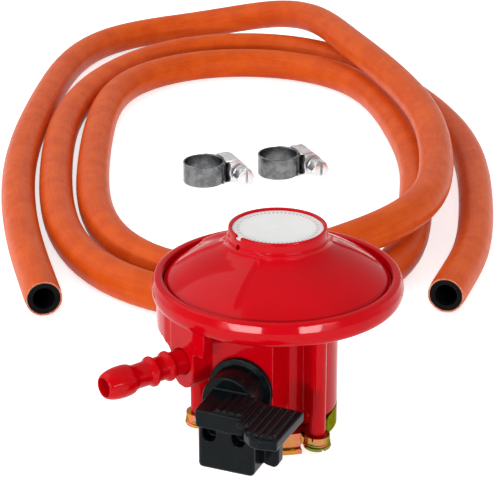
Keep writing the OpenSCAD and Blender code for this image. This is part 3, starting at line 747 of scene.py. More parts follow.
class Look(Enum):
    """Every finish in use. Its name in small letters is the material's name."""

    RED_ENAMEL = Finish(
        (0.565, 0.0004, 0.006), (0.53, 0.0003, 0.004), mottle_scale=45, roughness=0.14,
        roughness_swing=0.02, coat=0.17, coat_roughness=0.03, grain_scale=1100,
        grain_height=0.002, specular=0.04)
    BLACK_PLASTIC = Finish(
        (0.004, 0.0064, 0.0075), (0.003, 0.0045, 0.0055), mottle_scale=300, roughness=0.17,
        roughness_swing=0.04, grain_scale=2600, grain_height=0.006, rub=0.2,
        rub_colour=(0.035, 0.04, 0.044), specular=0.09)
    YELLOW_ZINC = IridescentZinc(
        (0.5, 0.25, 0.03), (0.6, 0.17, 0.12), mottle_scale=260, sharpness=0.8, roughness=0.24,
        metallic=1.0, grain_scale=1500, rub=0.15, rub_colour=(0.6, 0.4, 0.15),
        edge_tint=(0.55, 0.45, 0.25))
    BRIGHT_ZINC = Finish(
        (0.8, 0.81, 0.82), (0.66, 0.67, 0.68), mottle_scale=260, roughness=0.38, metallic=1.0,
        grain_scale=1400, grain_height=0.006, rub=0.3, rub_colour=(0.95, 0.95, 0.95))
    BAND_STEEL = BrushedBand(
        (0.21, 0.215, 0.22), (0.13, 0.133, 0.136), mottle_scale=240, roughness=0.26,
        metallic=1.0, grain_height=0.012)
    HOSE_COVER = HoseCover(
        (0.74, 0.1, 0.006), (0.67, 0.078, 0.004), mottle_scale=90, roughness=0.4,
        roughness_swing=0.08, grain_scale=1500, grain_height=0.02, specular=0.12)
    CUT_RUBBER = Finish(
        (0.82, 0.36, 0.24), (0.66, 0.19, 0.09), mottle_scale=900, sharpness=0.8, roughness=0.7,
        grain_scale=1600, grain_height=0.12)
    HOSE_LINER = Finish(
        (0.0025, 0.0025, 0.003), (0.005, 0.005, 0.0055), mottle_scale=500, roughness=0.6,
        grain_scale=1500, grain_height=0.05, specular=0.08)
    LABEL_FILM = LabelFilm(
        (0.87, 0.87, 0.855), (0.83, 0.83, 0.82), mottle_scale=70, roughness=0.45,
        grain_scale=1200, specular=0.3)
    TURNED_BRASS = Finish(
        (0.6, 0.4, 0.14), (0.5, 0.32, 0.1), mottle_scale=160, roughness=0.28, metallic=1.0,
        grain_scale=1700, rub=0.3, rub_colour=(0.85, 0.7, 0.4))
    SPRING_WIRE = Finish(
        (0.45, 0.45, 0.46), (0.36, 0.36, 0.37), mottle_scale=400, roughness=0.26, metallic=1.0,
        grain_scale=2200)
    PRESSED_STEEL = Finish(
        (0.6, 0.6, 0.58), (0.52, 0.53, 0.5), mottle_scale=150, roughness=0.34, metallic=1.0,
        grain_scale=1100, rub=0.3, rub_colour=(0.8, 0.8, 0.8))
    SOFT_RUBBER = Finish(
        (0.016, 0.016, 0.017), (0.024, 0.024, 0.025), mottle_scale=350, roughness=0.66,
        grain_scale=1300, grain_height=0.04)
    TURNED_ALLOY = Finish(
        (0.62, 0.62, 0.63), (0.54, 0.54, 0.55), mottle_scale=180, roughness=0.32, metallic=1.0,
        grain_scale=1900)


class Looks:
    """The materials, each built once."""

    def __init__(self) -> None:
        """Builds the materials."""
        self.made = {look: look.value.build(look.name.lower()) for look in Look}

    def dress(self, piece: Piece, *looks: Look) -> None:
        """Gives a piece its finishes, one material slot each, and keeps its faces' slot numbers.

        Args:
            piece: The piece.
            *looks: The finishes.
        """
        slots = [polygon.material_index for polygon in piece.data.polygons]
        piece.data.materials.clear()
        for look in looks:
            piece.data.materials.append(self.made[look])
        piece.data.polygons.foreach_set("material_index", [min(k, len(looks) - 1) for k in slots])


# ---------------------------------------------------------------- camera and studio


@dataclass(frozen=True)
class Viewpoint:
    """The camera's place, aim and lens, in mm, degrees and pixels of its image."""

    distance: float = 603.0
    elevation: float = 24.0
    target: Point = (0.0, 0.0, 49.4)
    target_px: tuple[float, float] = (277.5, 279.5)
    focal_px: float = 1900.0
    image: tuple[int, int] = (497, 481)
    sensor: float = 36.0
    near: float = 20.0
    far: float = 20000.0
    rounds: int = 20

    def build(self) -> Piece:
        """Adds the camera, level, with the target at its place in the image.

        Returns:
            The camera.
        """
        data = bpy.data.cameras.new("camera")
        data.sensor_width = self.sensor
        data.lens = self.focal_px * self.sensor / self.image[0]
        data.clip_start, data.clip_end = self.near * MM, self.far * MM
        camera = link("camera", data)
        lift = math.radians(self.elevation)
        back = Vector((0.0, -math.cos(lift), math.sin(lift)))
        camera.location = (Vector(self.target) + back * self.distance) * MM
        pitch, yaw = self.aim(-back)
        camera.rotation_euler = (math.pi / 2 - pitch, 0.0, -yaw)
        bpy.context.scene.camera = camera
        return camera

    def aim(self, sight: Vector) -> tuple[float, float]:
        """Finds how a level camera turns and tips to see the target at its place in the image.

        Args:
            sight: Unit vector from the camera to the target.

        Returns:
            The pitch down and the yaw to the right, in radians.
        """
        right = (self.target_px[0] - self.image[0] / 2) / self.focal_px
        down = (self.target_px[1] - self.image[1] / 2) / self.focal_px
        pitch, yaw = math.radians(self.elevation) - down, 0.0
        for _ in range(self.rounds):
            forward = Vector((math.sin(yaw) * math.cos(pitch), math.cos(yaw) * math.cos(pitch),
                              -math.sin(pitch)))
            side = Vector((math.cos(yaw), -math.sin(yaw), 0.0))
            depth = sight.dot(forward)
            yaw += sight.dot(side) / depth - right
            pitch += sight.dot(forward.cross(side)) / depth - down
        return pitch, yaw


@dataclass(frozen=True)
class Lamp:
    """A soft rectangular lamp: degrees, m and W."""

    name: str
    heading: float
    elevation: float
    distance: float
    width: float
    height: float
    power: float

    def build(self, aim: Vector) -> None:
        """Hangs the lamp so that it faces a point.

        Args:
            aim: The point in m.
        """
        data = bpy.data.lights.new(self.name, "AREA")
        data.shape, data.size, data.size_y = "RECTANGLE", self.width, self.height
        data.energy = self.power
        lamp = link(self.name, data)
        a, b = math.radians(self.heading), math.radians(self.elevation)
        way = Vector((math.cos(a) * math.cos(b), math.sin(a) * math.cos(b), math.sin(b)))
        lamp.location = aim + way * self.distance
        lamp.rotation_euler = (-way).to_track_quat("-Z", "Y").to_euler()


@dataclass
class Studio:
    """A pale floor, soft lamps and a white world that is dimmer behind the camera."""

    floor_size: float = 6000.0
    floor_middle: Point = (0.0, 200.0, -0.1)
    floor_shade: float = 0.9
    floor_roughness: float = 0.85
    floor_specular: float = 0.1
    floor_glow: float = 0.7
    wall_span: tuple[float, float] = (-0.75, 0.1)
    wall_glow: tuple[float, float] = (0.3, 0.7)
    aim: Point = (0.0, 0.0, 45.0)
    lamps: tuple[Lamp, ...] = (
        Lamp("left_strip", -122.0, 12.0, 0.9, 0.6, 0.05, 3.4),
        Lamp("right_strip", -54.0, 12.0, 0.9, 0.54, 0.045, 2.7),
        Lamp("top_box", 172.0, 46.0, 1.2, 1.4, 1.05, 6.0),
    )

    def build(self) -> None:
        """Builds the world, the floor and the lamps."""
        self.world()
        self.floor()
        for lamp in self.lamps:
            lamp.build(Vector(self.aim) * MM)

    def world(self) -> None:
        """Surrounds the object with pale walls, the one behind the camera dimmer."""
        world = bpy.data.worlds.new("studio")
        bpy.context.scene.world = world
        world.use_nodes = True
        n = Nodes(world.node_tree)
        way = n.add("SeparateXYZ", inputs={0: n.add("TexCoord").outputs["Generated"]}).outputs
        walls = world.node_tree.nodes["Background"]
        walls.inputs["Color"].default_value = (1, 1, 1, 1)
        glow = n.ramp(way[1], *self.wall_span, *self.wall_glow)
        n.tree.links.new(glow, walls.inputs["Strength"])
        bpy.context.scene.view_settings.view_transform = "Standard"

    def floor(self) -> None:
        """Adds a round pale floor that keeps a soft contact shadow."""
        bpy.ops.mesh.primitive_circle_add(vertices=96, radius=self.floor_size * MM / 2,
                                          fill_type="NGON")
        floor = bpy.context.object
        floor.name = "floor"
        place_at(floor, at=self.floor_middle)
        material, n, shader = new_material("pale_floor")
        shader.inputs["Base Color"].default_value = rgba((self.floor_shade,) * 3)
        shader.inputs["Roughness"].default_value = self.floor_roughness
        shader.inputs["Specular IOR Level"].default_value = self.floor_specular
        shader.inputs["Emission Color"].default_value = (1, 1, 1, 1)
        path = n.add("LightPath")
        seen = n.math("MAXIMUM", path.outputs["Is Camera Ray"], n.math(
            "MAXIMUM", path.outputs["Is Glossy Ray"], path.outputs["Is Transmission Ray"]))
        n.tree.links.new(n.math("MULTIPLY", seen, self.floor_glow),
                         shader.inputs["Emission Strength"])
        floor.data.materials.append(material)


# ---------------------------------------------------------------- hose


class HoseSkin(IntEnum):
    """Material slots of the hose."""

    COVER = 0
    CUT = 1
    LINER = 2


@dataclass(frozen=True)
class Ring:
    """A ring of the hose's skin: its station on the centre line, its radius and edge in mm.

    The skin from this ring to the next takes the ring's slot.
    """

    station: int
    radius: float
    slot: HoseSkin
    ragged: float = 0.0
    lean: float = 0.0

    def wobble(self, angle: float) -> float:
        """Distance in mm that the cut edge stands forward at an angle in radians."""
        wave = math.sin(3 * angle + self.station)
        return self.ragged * (wave + 0.6 * math.sin(7 * angle + 2 * self.station + 1)) / 1.6


@dataclass
class Hose:
    """The coiled gas hose, cut square at both ends."""

    outer: float = 14.0
    bore: float = 8.0
    liner: float = 12.3
    end_length: float = 16.0
    end_steps: int = 4
    edge_round: float = 0.25
    edge_ragged: float = 0.12
    liner_ragged: float = 0.1
    liner_sunk: float = 0.15
    bore_round: float = 0.15
    bore_sunk: float = 0.25
    rings_per_span: int = 5
    sides: int = 28
    # control points of the uniform cubic spline, with heights above the lying hose's middle
    route: tuple[Point, ...] = (
        (-81, 62, 0), (-89, 92, 0), (-97, 122, 0), (-104, 155, 0), (-109.5, 191.5, 0),
        (-112.5, 231.5, 0), (-112, 273.5, 0), (-109.5, 318, 0), (-105, 362, 0), (-92.5, 396, 0),
        (-70.5, 415.5, 0), (-46, 423.5, 1), (-21, 421.5, 6), (2, 409.5, 13), (20.5, 385, 17),
        (32.5, 347.5, 17), (45, 312.5, 17), (55, 283, 16), (61.5, 255.5, 16), (65.5, 226.5, 16),
        (66, 196.5, 15), (64, 167, 15), (59, 139, 16), (46.5, 114.5, 16), (25, 97.5, 14),
        (-3.5, 90.5, 7), (-31, 97, 0), (-54.5, 114.5, 0), (-69.5, 142.5, 0), (-77, 178.5, 0),
        (-80, 218, 0), (-81.5, 258.5, 0), (-81, 297.5, 0), (-73.5, 329, 0), (-56, 350, 0),
        (-33.5, 361.5, 0), (-9, 363, 0), (15.5, 355, 0), (36, 336, 0), (48, 305, 0),
        (54.5, 267.5, 0), (58.5, 233.5, 0), (59, 204, 0), (56.5, 176, 0), (54, 146, 0),
        (48, 114.5, 0), (30, 87.5, 0), (0.5, 72.5, 0), (-34, 74.5, 0), (-65, 96, 0),
        (-83, 131.5, 0), (-91.5, 173, 0), (-96, 216.5, 0), (-98.5, 260, 0), (-95, 303, 0),
        (-83.5, 341.5, 0), (-63.5, 371.5, 0), (-38, 388.5, 0), (-8.5, 391.5, 0), (20, 381, 0),
        (42.5, 355.5, 0), (60.5, 320, 0), (74, 283.5, 0), (81.5, 250, 0), (83.5, 217.5, 0),
        (82, 184, 0), (79, 150.5, 0), (74.5, 121, 0), (66.5, 97, 0), (58.5, 73, 0))

    def centres(self) -> list[Vector]:
        """Works out the hose's centre line, ends included.

        Returns:
            Its points in m.
        """
        lift = Vector((0, 0, self.outer / 2))
        points = [Vector(p) + lift for p in self.route]
        line: list[Vector] = []
        for i in range(len(points) - 3):
            for k in range(self.rings_per_span):
                line.append(self.on_spline(points[i:i + 4], k / self.rings_per_span))
        line.append(self.on_spline(points[-4:], 1.0))
        first = (points[0] - points[1]).normalized()
        last = (points[-1] - points[-2]).normalized()
        steps = [self.end_length * k / self.end_steps for k in range(1, self.end_steps + 1)]
        line = ([line[0] + first * s for s in reversed(steps)] + line
                + [line[-1] + last * s for s in steps])
        return [p * MM for p in line]

    @staticmethod
    def on_spline(p: Sequence[Vector], t: float) -> Vector:
        """Finds a point of one span of a uniform cubic spline.

        Args:
            p: The span's four control points.
            t: Place on the span, from 0 to 1.

        Returns:
            The point.
        """
        weights = ((1 - t) ** 3, 3 * t ** 3 - 6 * t ** 2 + 4,
                   -3 * t ** 3 + 3 * t ** 2 + 3 * t + 1, t ** 3)
        return sum((w / 6 * q for w, q in zip(weights, p)), Vector((0, 0, 0)))

    def rings(self, last: int) -> list[Ring]:
        """Plans the skin: the cover, one cut end, the bore back again and the other cut end.

        Args:
            last: Number of the centre line's last station.

        Returns:
            The rings in order, the last of which joins the first.
        """
        outer, middle, inner = self.outer / 2, self.liner / 2, self.bore / 2
        edge, lip = outer - self.edge_round, inner + self.bore_round
        return [
            Ring(0, edge, HoseSkin.COVER, self.edge_ragged),
            *(Ring(i, outer, HoseSkin.COVER) for i in range(1, last)),
            Ring(last, edge, HoseSkin.CUT, self.edge_ragged),
            Ring(last, middle, HoseSkin.LINER, self.liner_ragged, -self.liner_sunk),
            Ring(last, lip, HoseSkin.LINER, lean=-self.bore_sunk),
            *(Ring(i, inner, HoseSkin.LINER) for i in range(last - 1, 0, -1)),
            Ring(0, lip, HoseSkin.LINER, lean=self.bore_sunk),
            Ring(0, middle, HoseSkin.CUT, self.liner_ragged, self.liner_sunk),
        ]

    def circle(self, line: Sequence[Vector], ring: Ring) -> list[Point]:
        """Sets out a ring's points square to the centre line.

        Args:
            line: The centre line in m.
            ring: The ring.

        Returns:
            Its points in m.
        """
        i = ring.station
        along = (line[min(i + 1, len(line) - 1)] - line[max(i - 1, 0)]).normalized()
        side = Vector((0, 0, 1)).cross(along).normalized()
        up = along.cross(side)
        heading = side.cross(up)
        points = []
        for k in range(self.sides):
            a = math.tau * k / self.sides
            points.append(tuple(
                line[i] + (math.cos(a) * side + math.sin(a) * up) * ring.radius * MM
                + heading * (ring.wobble(a) + ring.lean) * MM))
        return points

    def skin(self, line: Sequence[Vector], along: Sequence[float]) -> Piece:
        """Sweeps the cover, the liner and the bore, with a map of distance along and share round.

        Args:
            line: The centre line in m.
            along: Distance in m of each station from the first.

        Returns:
            The hose.
        """
        rings, s = self.rings(len(line) - 1), self.sides
        points = [point for ring in rings for point in self.circle(line, ring)]
        piece = new_piece("hose", points, faces=ring_faces(len(rings), s, closed=True))
        uv = piece.data.uv_layers.new(name="along")
        for polygon in piece.data.polygons:
            i, k = divmod(polygon.index, s)
            here, there = along[rings[i].station], along[rings[(i + 1) % len(rings)].station]
            polygon.material_index = rings[i].slot
            corners = ((here, k / s), (here, (k + 1) / s), (there, (k + 1) / s), (there, k / s))
            for loop, corner in zip(polygon.loop_indices, corners):
                uv.data[loop].uv = corner
        with editing(piece):
            bpy.ops.mesh.normals_make_consistent(inside=False)
        return piece

    def build(self, looks: Looks) -> Piece:
        """Makes the hose, rides it on the casing and logs its faces and length.

        Args:
            looks: The finishes.

        Returns:
            The hose.
        """
        line = self.centres()
        along = list(accumulate(((b - a).length for a, b in zip(line, line[1:])), initial=0.0))
        piece = self.skin(line, along)
        smooth(piece, 40)
        looks.dress(piece, Look.HOSE_COVER, Look.CUT_RUBBER, Look.HOSE_LINER)
        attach(piece, "casing")
        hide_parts("hose_tube", "hose_end_left", "hose_end_right")
        LOG.info("hose: %d faces, %.0f mm long", len(piece.data.polygons), along[-1] / MM)
        return piece


# ---------------------------------------------------------------- casing


@dataclass(frozen=True)
class Headings:
    """Directions round the casing in degrees, and the heights in mm of what points there."""

    switch: float = -111.5
    switch_height: float = 25.0
    outlet: float = -141.0
    outlet_height: float = 32.2
    lug: float = -128.5
    pillars: tuple[float, float, float] = (-61.0, 68.0, 198.0)
    latch_balls: tuple[float, float, float] = (0.0, 120.0, 200.0)
    tab: float = -143.0


HEADINGS = Headings()


@dataclass
class Casing:
    """The cast lower body: tower, pan, pillars, switch block, outlet boss and rolled rim."""

    rim_radius: float = 40.0
    rim_middle: float = 48.0
    rim_half: float = 4.0
    tower_radius: float = 19.6
    cup_top: float = 6.7
    pan_bottom: float = 42.1
    pan_top: float = 44.3
    pan_edge: tuple[float, float] = (33.5, 43.4)
    bowl_radius: float = 33.6
    skirt_radius: float = 16.6
    socket_radius: float = 13.6
    socket_depth: float = 14.0
    well_radius: float = 15.5
    well_floor: float = 33.5
    pillar_radius: float = 2.6
    pillar_reach: float = 26.4
    web_thick: float = 1.9
    block_start: float = 8.0
    block_reach: float = 29.5
    block_width: float = 20.4
    boss_radius: float = 5.8
    boss_drop: float = 3.2
    boss_reach: float = 38.0
    flare: float = 7.0
    flare_drop: float = 3.7
    wall_width: float = 27.0
    wall_thick: float = 3.4
    wall_radius: float = 38.6
    lug_low: Point = (35.0, -1.8, 36.4)
    lug_high: Point = (38.3, 1.8, 45.4)
    passage_radius: float = 2.8
    grid: float = 0.5
    rounds: int = 4
    far: float = 60.0

    def build(self, looks: Looks) -> Piece:
        """Casts the body, machines its bores and adds the spun rim.

        Args:
            looks: The finishes.

        Returns:
            The casing.
        """
        body = self.casting()
        self.machine(body)
        piece = join_all("lower_casing", [body, self.rim()])
        smooth(piece, 38)
        looks.dress(piece, Look.RED_ENAMEL)
        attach(piece, "casing")
        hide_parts("lower_body")
        return piece

    def casting(self) -> Piece:
        """Fuses the rough parts and softens them.

        Returns:
            The casting, before its bores.
        """
        top, edge = self.pan_top, self.pan_edge
        parts = [
            rod("tower", self.tower_radius, self.cup_top, top, sides=160),
            rod("skirt", self.skirt_radius, 0.0, self.cup_top + 1, sides=128),
            turned("pan", [(0, self.pan_bottom), (self.tower_radius + 2, self.pan_bottom), edge,
                           (edge[0], top), (0, top)], 160),
        ]
        half = self.web_thick / 2
        for heading in HEADINGS.pillars:
            parts.append(stand_at(rod("pillar", self.pillar_radius, self.cup_top, top,
                                      at=(self.pillar_reach, 0, 0), sides=48), heading))
            parts.append(stand_at(block("web", (self.tower_radius - 2, -half, self.cup_top + 5),
                                        (self.pillar_reach, half, top)), heading))
        half = self.block_width / 2
        parts.append(stand_at(block("block", (self.block_start, -half, self.cup_top + 0.4),
                                    (self.block_reach, half, top)), HEADINGS.switch))
        parts += self.outlet_parts()
        parts.append(stand_at(block("lug", self.lug_low, self.lug_high), HEADINGS.lug))
        piece = join_all("casting", parts)
        cast(piece, self.grid, self.rounds)
        return piece

    def outlet_parts(self) -> list[Piece]:
        """Makes the outlet boss, its neck and the wall that hangs from the rim beside it.

        Returns:
            The three parts, turned to the outlet's heading.
        """
        r, reach, f, far = self.boss_radius, self.boss_reach, self.flare, self.far
        low, top = HEADINGS.outlet_height - self.boss_drop, self.rim_middle - 2
        boss = rod("boss", r, self.tower_radius - 6, reach, Axis.X, (0, 0, low), 96)
        neck = block("neck", (self.tower_radius - 4, -r, low), (reach, r, top))
        # the wall's lower edge leaves the boss in a quarter round of radius f, then runs level
        side, foot = -0.96 * r - f + 0.2, HEADINGS.outlet_height - self.flare_drop
        wall = block("wall", (self.tower_radius, -self.wall_width, foot + 1), (reach - 0.6, 0, top))
        cut(wall, rod("hollow", f, 0, far, Axis.X, (0, side, foot), 96))
        cut(wall, block("under_wall", (0, -40, foot - 10), (far, side, foot + 0.985 * f)))
        cut(wall, rod("outside", self.wall_radius, 0, far, sides=160), Cut.COMMON)
        cut(wall, rod("inside", self.wall_radius - self.wall_thick, 0, far, sides=160))
        cut(neck, rod("bowl", self.bowl_radius, self.pan_top, far, sides=96))
        return [stand_at(p, HEADINGS.outlet) for p in (boss, neck, wall)]

    def machine(self, body: Piece) -> None:
        """Bores the socket, the well, the passages and the screw holes.

        Args:
            body: The casting.
        """
        r, depth = self.socket_radius, self.socket_depth
        cut(body, turned("socket_tool", [
            (0, -1), *shifted(r, 0, (0.9, -1), (0.9, -0.05), (0, 0.7)),
            *shifted(r, depth, (0, 0), (-1.2, 0), (-1.2, 6)),
            *shifted(0, depth, (7, 6), (7, 0.6), (5.6, 0.6), (5.6, 1.6), (1.7, 1.6)),
            (1.7, 16.5), (4.06, 16.5), (4.06, 31), (0, 31)], 128))
        cut(body, rod("well_tool", self.well_radius, self.well_floor, self.pan_top + 3, sides=128))
        cut(body, rod("jet_tool", 2.25, 29.5, 35, at=(10, 0, 0), sides=32))
        reach, seal, groove, bezel = self.block_reach, 3.36, 4.9, 10.7
        self.bore(body, "switch_tool", HEADINGS.switch, HEADINGS.switch_height, [
            (0, 2.6), (seal, 2.6), (seal, 23.1), (groove, 23.1), (groove, 24.9), (seal, 24.9),
            (seal, reach), (bezel, reach), (bezel, 42), (0, 42)])
        reach, gas, tail, mouth = self.boss_reach, self.passage_radius, 4.0, 4.5
        self.bore(body, "outlet_tool", HEADINGS.outlet, HEADINGS.outlet_height, [
            (0, 9), (gas, 9), (gas, 26), (tail, 26), (tail, reach - 0.5), (mouth, reach + 0.05),
            (mouth, 40), (0, 40)])
        for heading in HEADINGS.pillars:
            cut(body, stand_at(rod("foot_tool", 1.6, 4, 15.7, at=(self.pillar_reach, 0, 0),
                                   sides=24), heading))
        for heading in HEADINGS.latch_balls:
            self.bore(body, "ball_tool", heading, 10, [
                (0, 11), (1.9, 11), (1.9, 13.95), (2.25, 14.1), (2.25, 18.2), (0, 18.2)], 32)

    @staticmethod
    def bore(body: Piece, name: str, heading: float, height: float, profile: Profile,
             steps: int = 64) -> None:
        """Cuts a turned hole that runs outwards from the axis.

        Args:
            body: The casting.
            name: Name of the tool.
            heading: Heading in degrees.
            height: Height in mm of the hole's axis.
            profile: Radius and distance pairs in mm.
            steps: Number of steps round it.
        """
        cut(body, stand_at(turned_x(name, profile, steps), heading, height))

    def rim(self) -> Piece:
        """Spins the rolled rim with its inner lip and the bowl's edge.

        Returns:
            The rim.
        """
        middle, half, r = self.rim_middle, self.rim_half, self.rim_radius
        top = middle + half
        crown = shifted(r, top, (-3.0, -0.06), (-2.5, 0), (-1.9, -0.03), (-1.4, -0.16),
                        (-1.05, -0.4), (-0.86, -0.68), (-0.79, -0.9), (-0.77, -0.96),
                        (-0.12, -2.76), (-0.1, -2.82), (-0.03, -3.3), (0, -3.9))
        under = superellipse((r - 3.3, middle), (3.3, half), 2.6, -6, -88, 20)
        lip = [(36.3, 47.8), (36.35, 49.4), (36.5, 51.1), (36.62, 51.7)]
        bowl = [(34.6, 43.5), (31.0, 42.75), (31.0, self.pan_top), (32.5, self.pan_top),
                (33.0, 44.6), (33.0, 47.8)]
        return turned("rim", [*lip, *crown, *under, *bowl, lip[0]], 288)


@dataclass(frozen=True)
class Rib:
    """A raised line on the cover: where it runs, and how broad and high it stands, in mm."""

    heading: float
    start: float
    end: float
    width: float
    height: float
    tail: float = 1.0
    rise: float = 1.2
    fall: float = 2.5
    crispness: float = 1.4

    def lift(self, x: float, y: float) -> float:
        """Height that the rib adds at a point of the cover.

        Args:
            x: Place in mm.
            y: Place in mm.

        Returns:
            The height in mm.
        """
        a = math.radians(self.heading)
        along = x * math.cos(a) + y * math.sin(a)
        side = -x * math.sin(a) + y * math.cos(a)
        ends = ease((along - self.start) / self.rise) * ease((self.end - along) / self.fall)
        width = self.width * (self.tail if side < 0 else 1.0) / 2
        return self.height * ends * math.exp(-((side / width) ** 2) * self.crispness)


@dataclass
class Cover:
    """The cast cover: a shallow cap that rises to the spring tower."""

    cap_radius: float = 54.46
    cap_centre: float = 9.34
    tower_radius: float = 15.6
    tower_top: float = 68.0
    label_radius: float = 14.5
    label_seat: float = 66.6
    bore: float = 12.6
    wall: float = 2.0
    rib_start: float = 15.9
    rib_end: float = 36.0
    vent_radius: float = 0.85
    vent_height: float = 64.6
    notch_width: float = 3.0
    ribs: tuple[Rib, ...] = (
        Rib(174.5, 17.0, 34.2, 1.5, 0.75),
        Rib(145.0, 16.5, 31.0, 5.0, 1.0),
        Rib(9.0, 16.8, 34.0, 1.1, 0.5),
        Rib(-114.0, 16.2, 33.4, 2.0, 0.6, tail=8.0),
        Rib(-108.5, 15.6, 18.6, 2.0, 0.7),
    )

    def cap(self, radius: float, inset: float = 0.0) -> float:
        """Height in mm of the cap at a radius."""
        return self.cap_centre + math.sqrt((self.cap_radius - inset) ** 2 - radius ** 2)

    def build(self, looks: Looks) -> Piece:
        """Spins the cover, raises its ribs, and cuts the vent and the tab's notch.

        Args:
            looks: The finishes.

        Returns:
            The cover.
        """
        piece = turned("cover", self.profile(), 360)
        for vertex in piece.data.vertices:
            x, y, z = (v / MM for v in vertex.co)
            reach = math.hypot(x, y)
            on_top = z > self.cap(min(reach, self.rib_end), 0.6)
            if reach > self.rib_start and on_top:
                vertex.co.z += sum(rib.lift(x, y) for rib in self.ribs) * MM
        vent = rod("vent", self.vent_radius, 11, 20, Axis.X, sides=24)
        cut(piece, stand_at(vent, HEADINGS.outlet, self.vent_height))
        half = self.notch_width / 2
        notch = block("notch", (self.label_radius - 1, -half, self.label_seat + 0.05),
                      (18, half, self.tower_top + 1), 0.25)
        cut(piece, stand_at(notch, HEADINGS.tab))
        smooth(piece, 32)
        looks.dress(piece, Look.RED_ENAMEL)
        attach(piece, "casing")
        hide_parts("dome_cover")
        return piece

    def profile(self) -> Outline:
        """Draws the cover's wall, from the label's seat outwards and back inside.

        Returns:
            Radius and height pairs in mm.
        """
        r, top, label = self.tower_radius, self.tower_top, self.label_radius
        tower = [(label, self.label_seat), (label, top - 0.15), (label + 0.15, top),
                 *shifted(r, top, (-0.4, 0), (-0.12, -0.12), (0, -0.4), (0.05, -1.6)),
                 *shifted(r, 0, (0.1, 65.6), (0.16, 64.7), (0.32, 64.45), (0.52, 64.25),
                          (0.62, 63.9), (0.66, 63.4), (0.85, 62.8), (1.3, 62.1), (2.0, 61.45),
                          (3.0, 60.8), (3.9, self.cap(r + 3.9) + 0.06))]
        cap = [(k, self.cap(k)) for k in (20.5 + 0.71 * i for i in range(20))]
        edge = [(34.4, self.cap(34.4)), (34.85, self.cap(34.85) - 0.02), (35.2, 50.85),
                (35.45, 50.45), (35.55, 49.95), (36.05, 49.8), (36.1, 49.6), (36.1, 49.0),
                (33.0, 49.0)]
        inside = [(k, self.cap(k, self.wall)) for k in (32.8 - 2.2 * i for i in range(8))]
        return [*tower, *cap, *edge, *inside, (self.bore, 58.6), (self.bore, self.label_seat),
                tower[0]]


@dataclass
class HoseTail:
    """The hose tail: two ring barbs and a bulb."""

    start: float = 26.2
    face: float = 38.0
    mouth: float = 67.0
    stem: float = 3.9
    ring: float = 4.85
    bulb: float = 5.0
    bore: float = 2.9

    def build(self, looks: Looks) -> Piece:
        """Turns the tail and sets it in its boss.

        Args:
            looks: The finishes.

        Returns:
            The tail.
        """
        stem, end = self.stem, self.mouth
        profile = [(self.bore, self.start), (stem, self.start), (stem, self.face + 0.2)]
        for at in (self.face + 4.3, self.face + 10.3):
            profile += [
                *shifted(stem, at, (0, -0.8), (0.08, -0.2), (0.35, 0.25)),
                *shifted(self.ring, at, (-0.2, 0.75), (0, 1.1), (0, 1.6), (-0.2, 2.0)),
                *shifted(stem, at, (0.4, 2.5), (0.1, 2.9), (0, 3.5))]
        profile += [
            *shifted(stem, end, (0, -10.9), (0.25, -10.3), (0.75, -9.4)),
            *shifted(self.bulb, end, (-0.1, -8.4), (0, -7.2), (0, -5.2), (-0.2, -3.4),
                     (-0.6, -1.7), (-1.1, -0.6), (-1.55, -0.1), (-1.9, -0.1)),
            (self.bore, end - 0.6), (self.bore, self.start)]
        piece = turned_x("hose_tail_barbs", profile, 96)
        stand_at(piece, HEADINGS.outlet, HEADINGS.outlet_height)
        smooth(piece, 50)
        looks.dress(piece, Look.RED_ENAMEL)
        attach(piece, "casing")
        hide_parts("outlet_nozzle")
        return piece


@dataclass
class Base:
    """The plated cup with its ears, and the three foot screws."""

    edge: float = 0.3
    reach: float = 26.4
    bottom: float = 2.0
    under_ear: float = 4.5
    tip: float = 14.7
    shank: float = 1.5
    slot_width: float = 1.2

    def build(self, looks: Looks) -> list[Piece]:
        """Rounds the cup's edges and turns the screws.

        Args:
            looks: The finishes.

        Returns:
            The cup and the screws.
        """
        cup = copy_of("base_cup", "plated_cup")
        round_edges(cup, self.edge, 2, 40)
        screws = join_all("plated_screws",
                          [stand_at(self.screw(), h) for h in HEADINGS.pillars])
        for piece, node in ((cup, "base_cup"), (screws, "foot_screws")):
            smooth(piece, 40)
            looks.dress(piece, Look.YELLOW_ZINC)
            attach(piece, "casing")
            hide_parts(node)
        return [cup, screws]

    def screw(self) -> Piece:
        """Turns a screw with a crowned head, a waist and a collar, and cuts its driver slot.

        Returns:
            The screw, at its reach along +X.
        """
        low, ear, r, half = self.bottom, self.under_ear, self.shank, self.slot_width / 2
        head = shifted(0, low, (0, 0), (3.2, 0), (3.85, 0.15), (4.25, 0.5), (4.4, 1.0),
                       (4.3, 1.35), (3.8, 1.65), (3.75, 1.85), (4.15, 2.05))
        piece = turned("screw", [*head, (4.2, ear - 0.2), (4.05, ear), (r, ear),
                                 (r, self.tip - 0.3), (r - 0.3, self.tip), (0, self.tip)], 64)
        cut(piece, block("slot", (-6, -half, 0), (6, half, low + 1)))
        return place_at(piece, at=(self.reach, 0, 0))


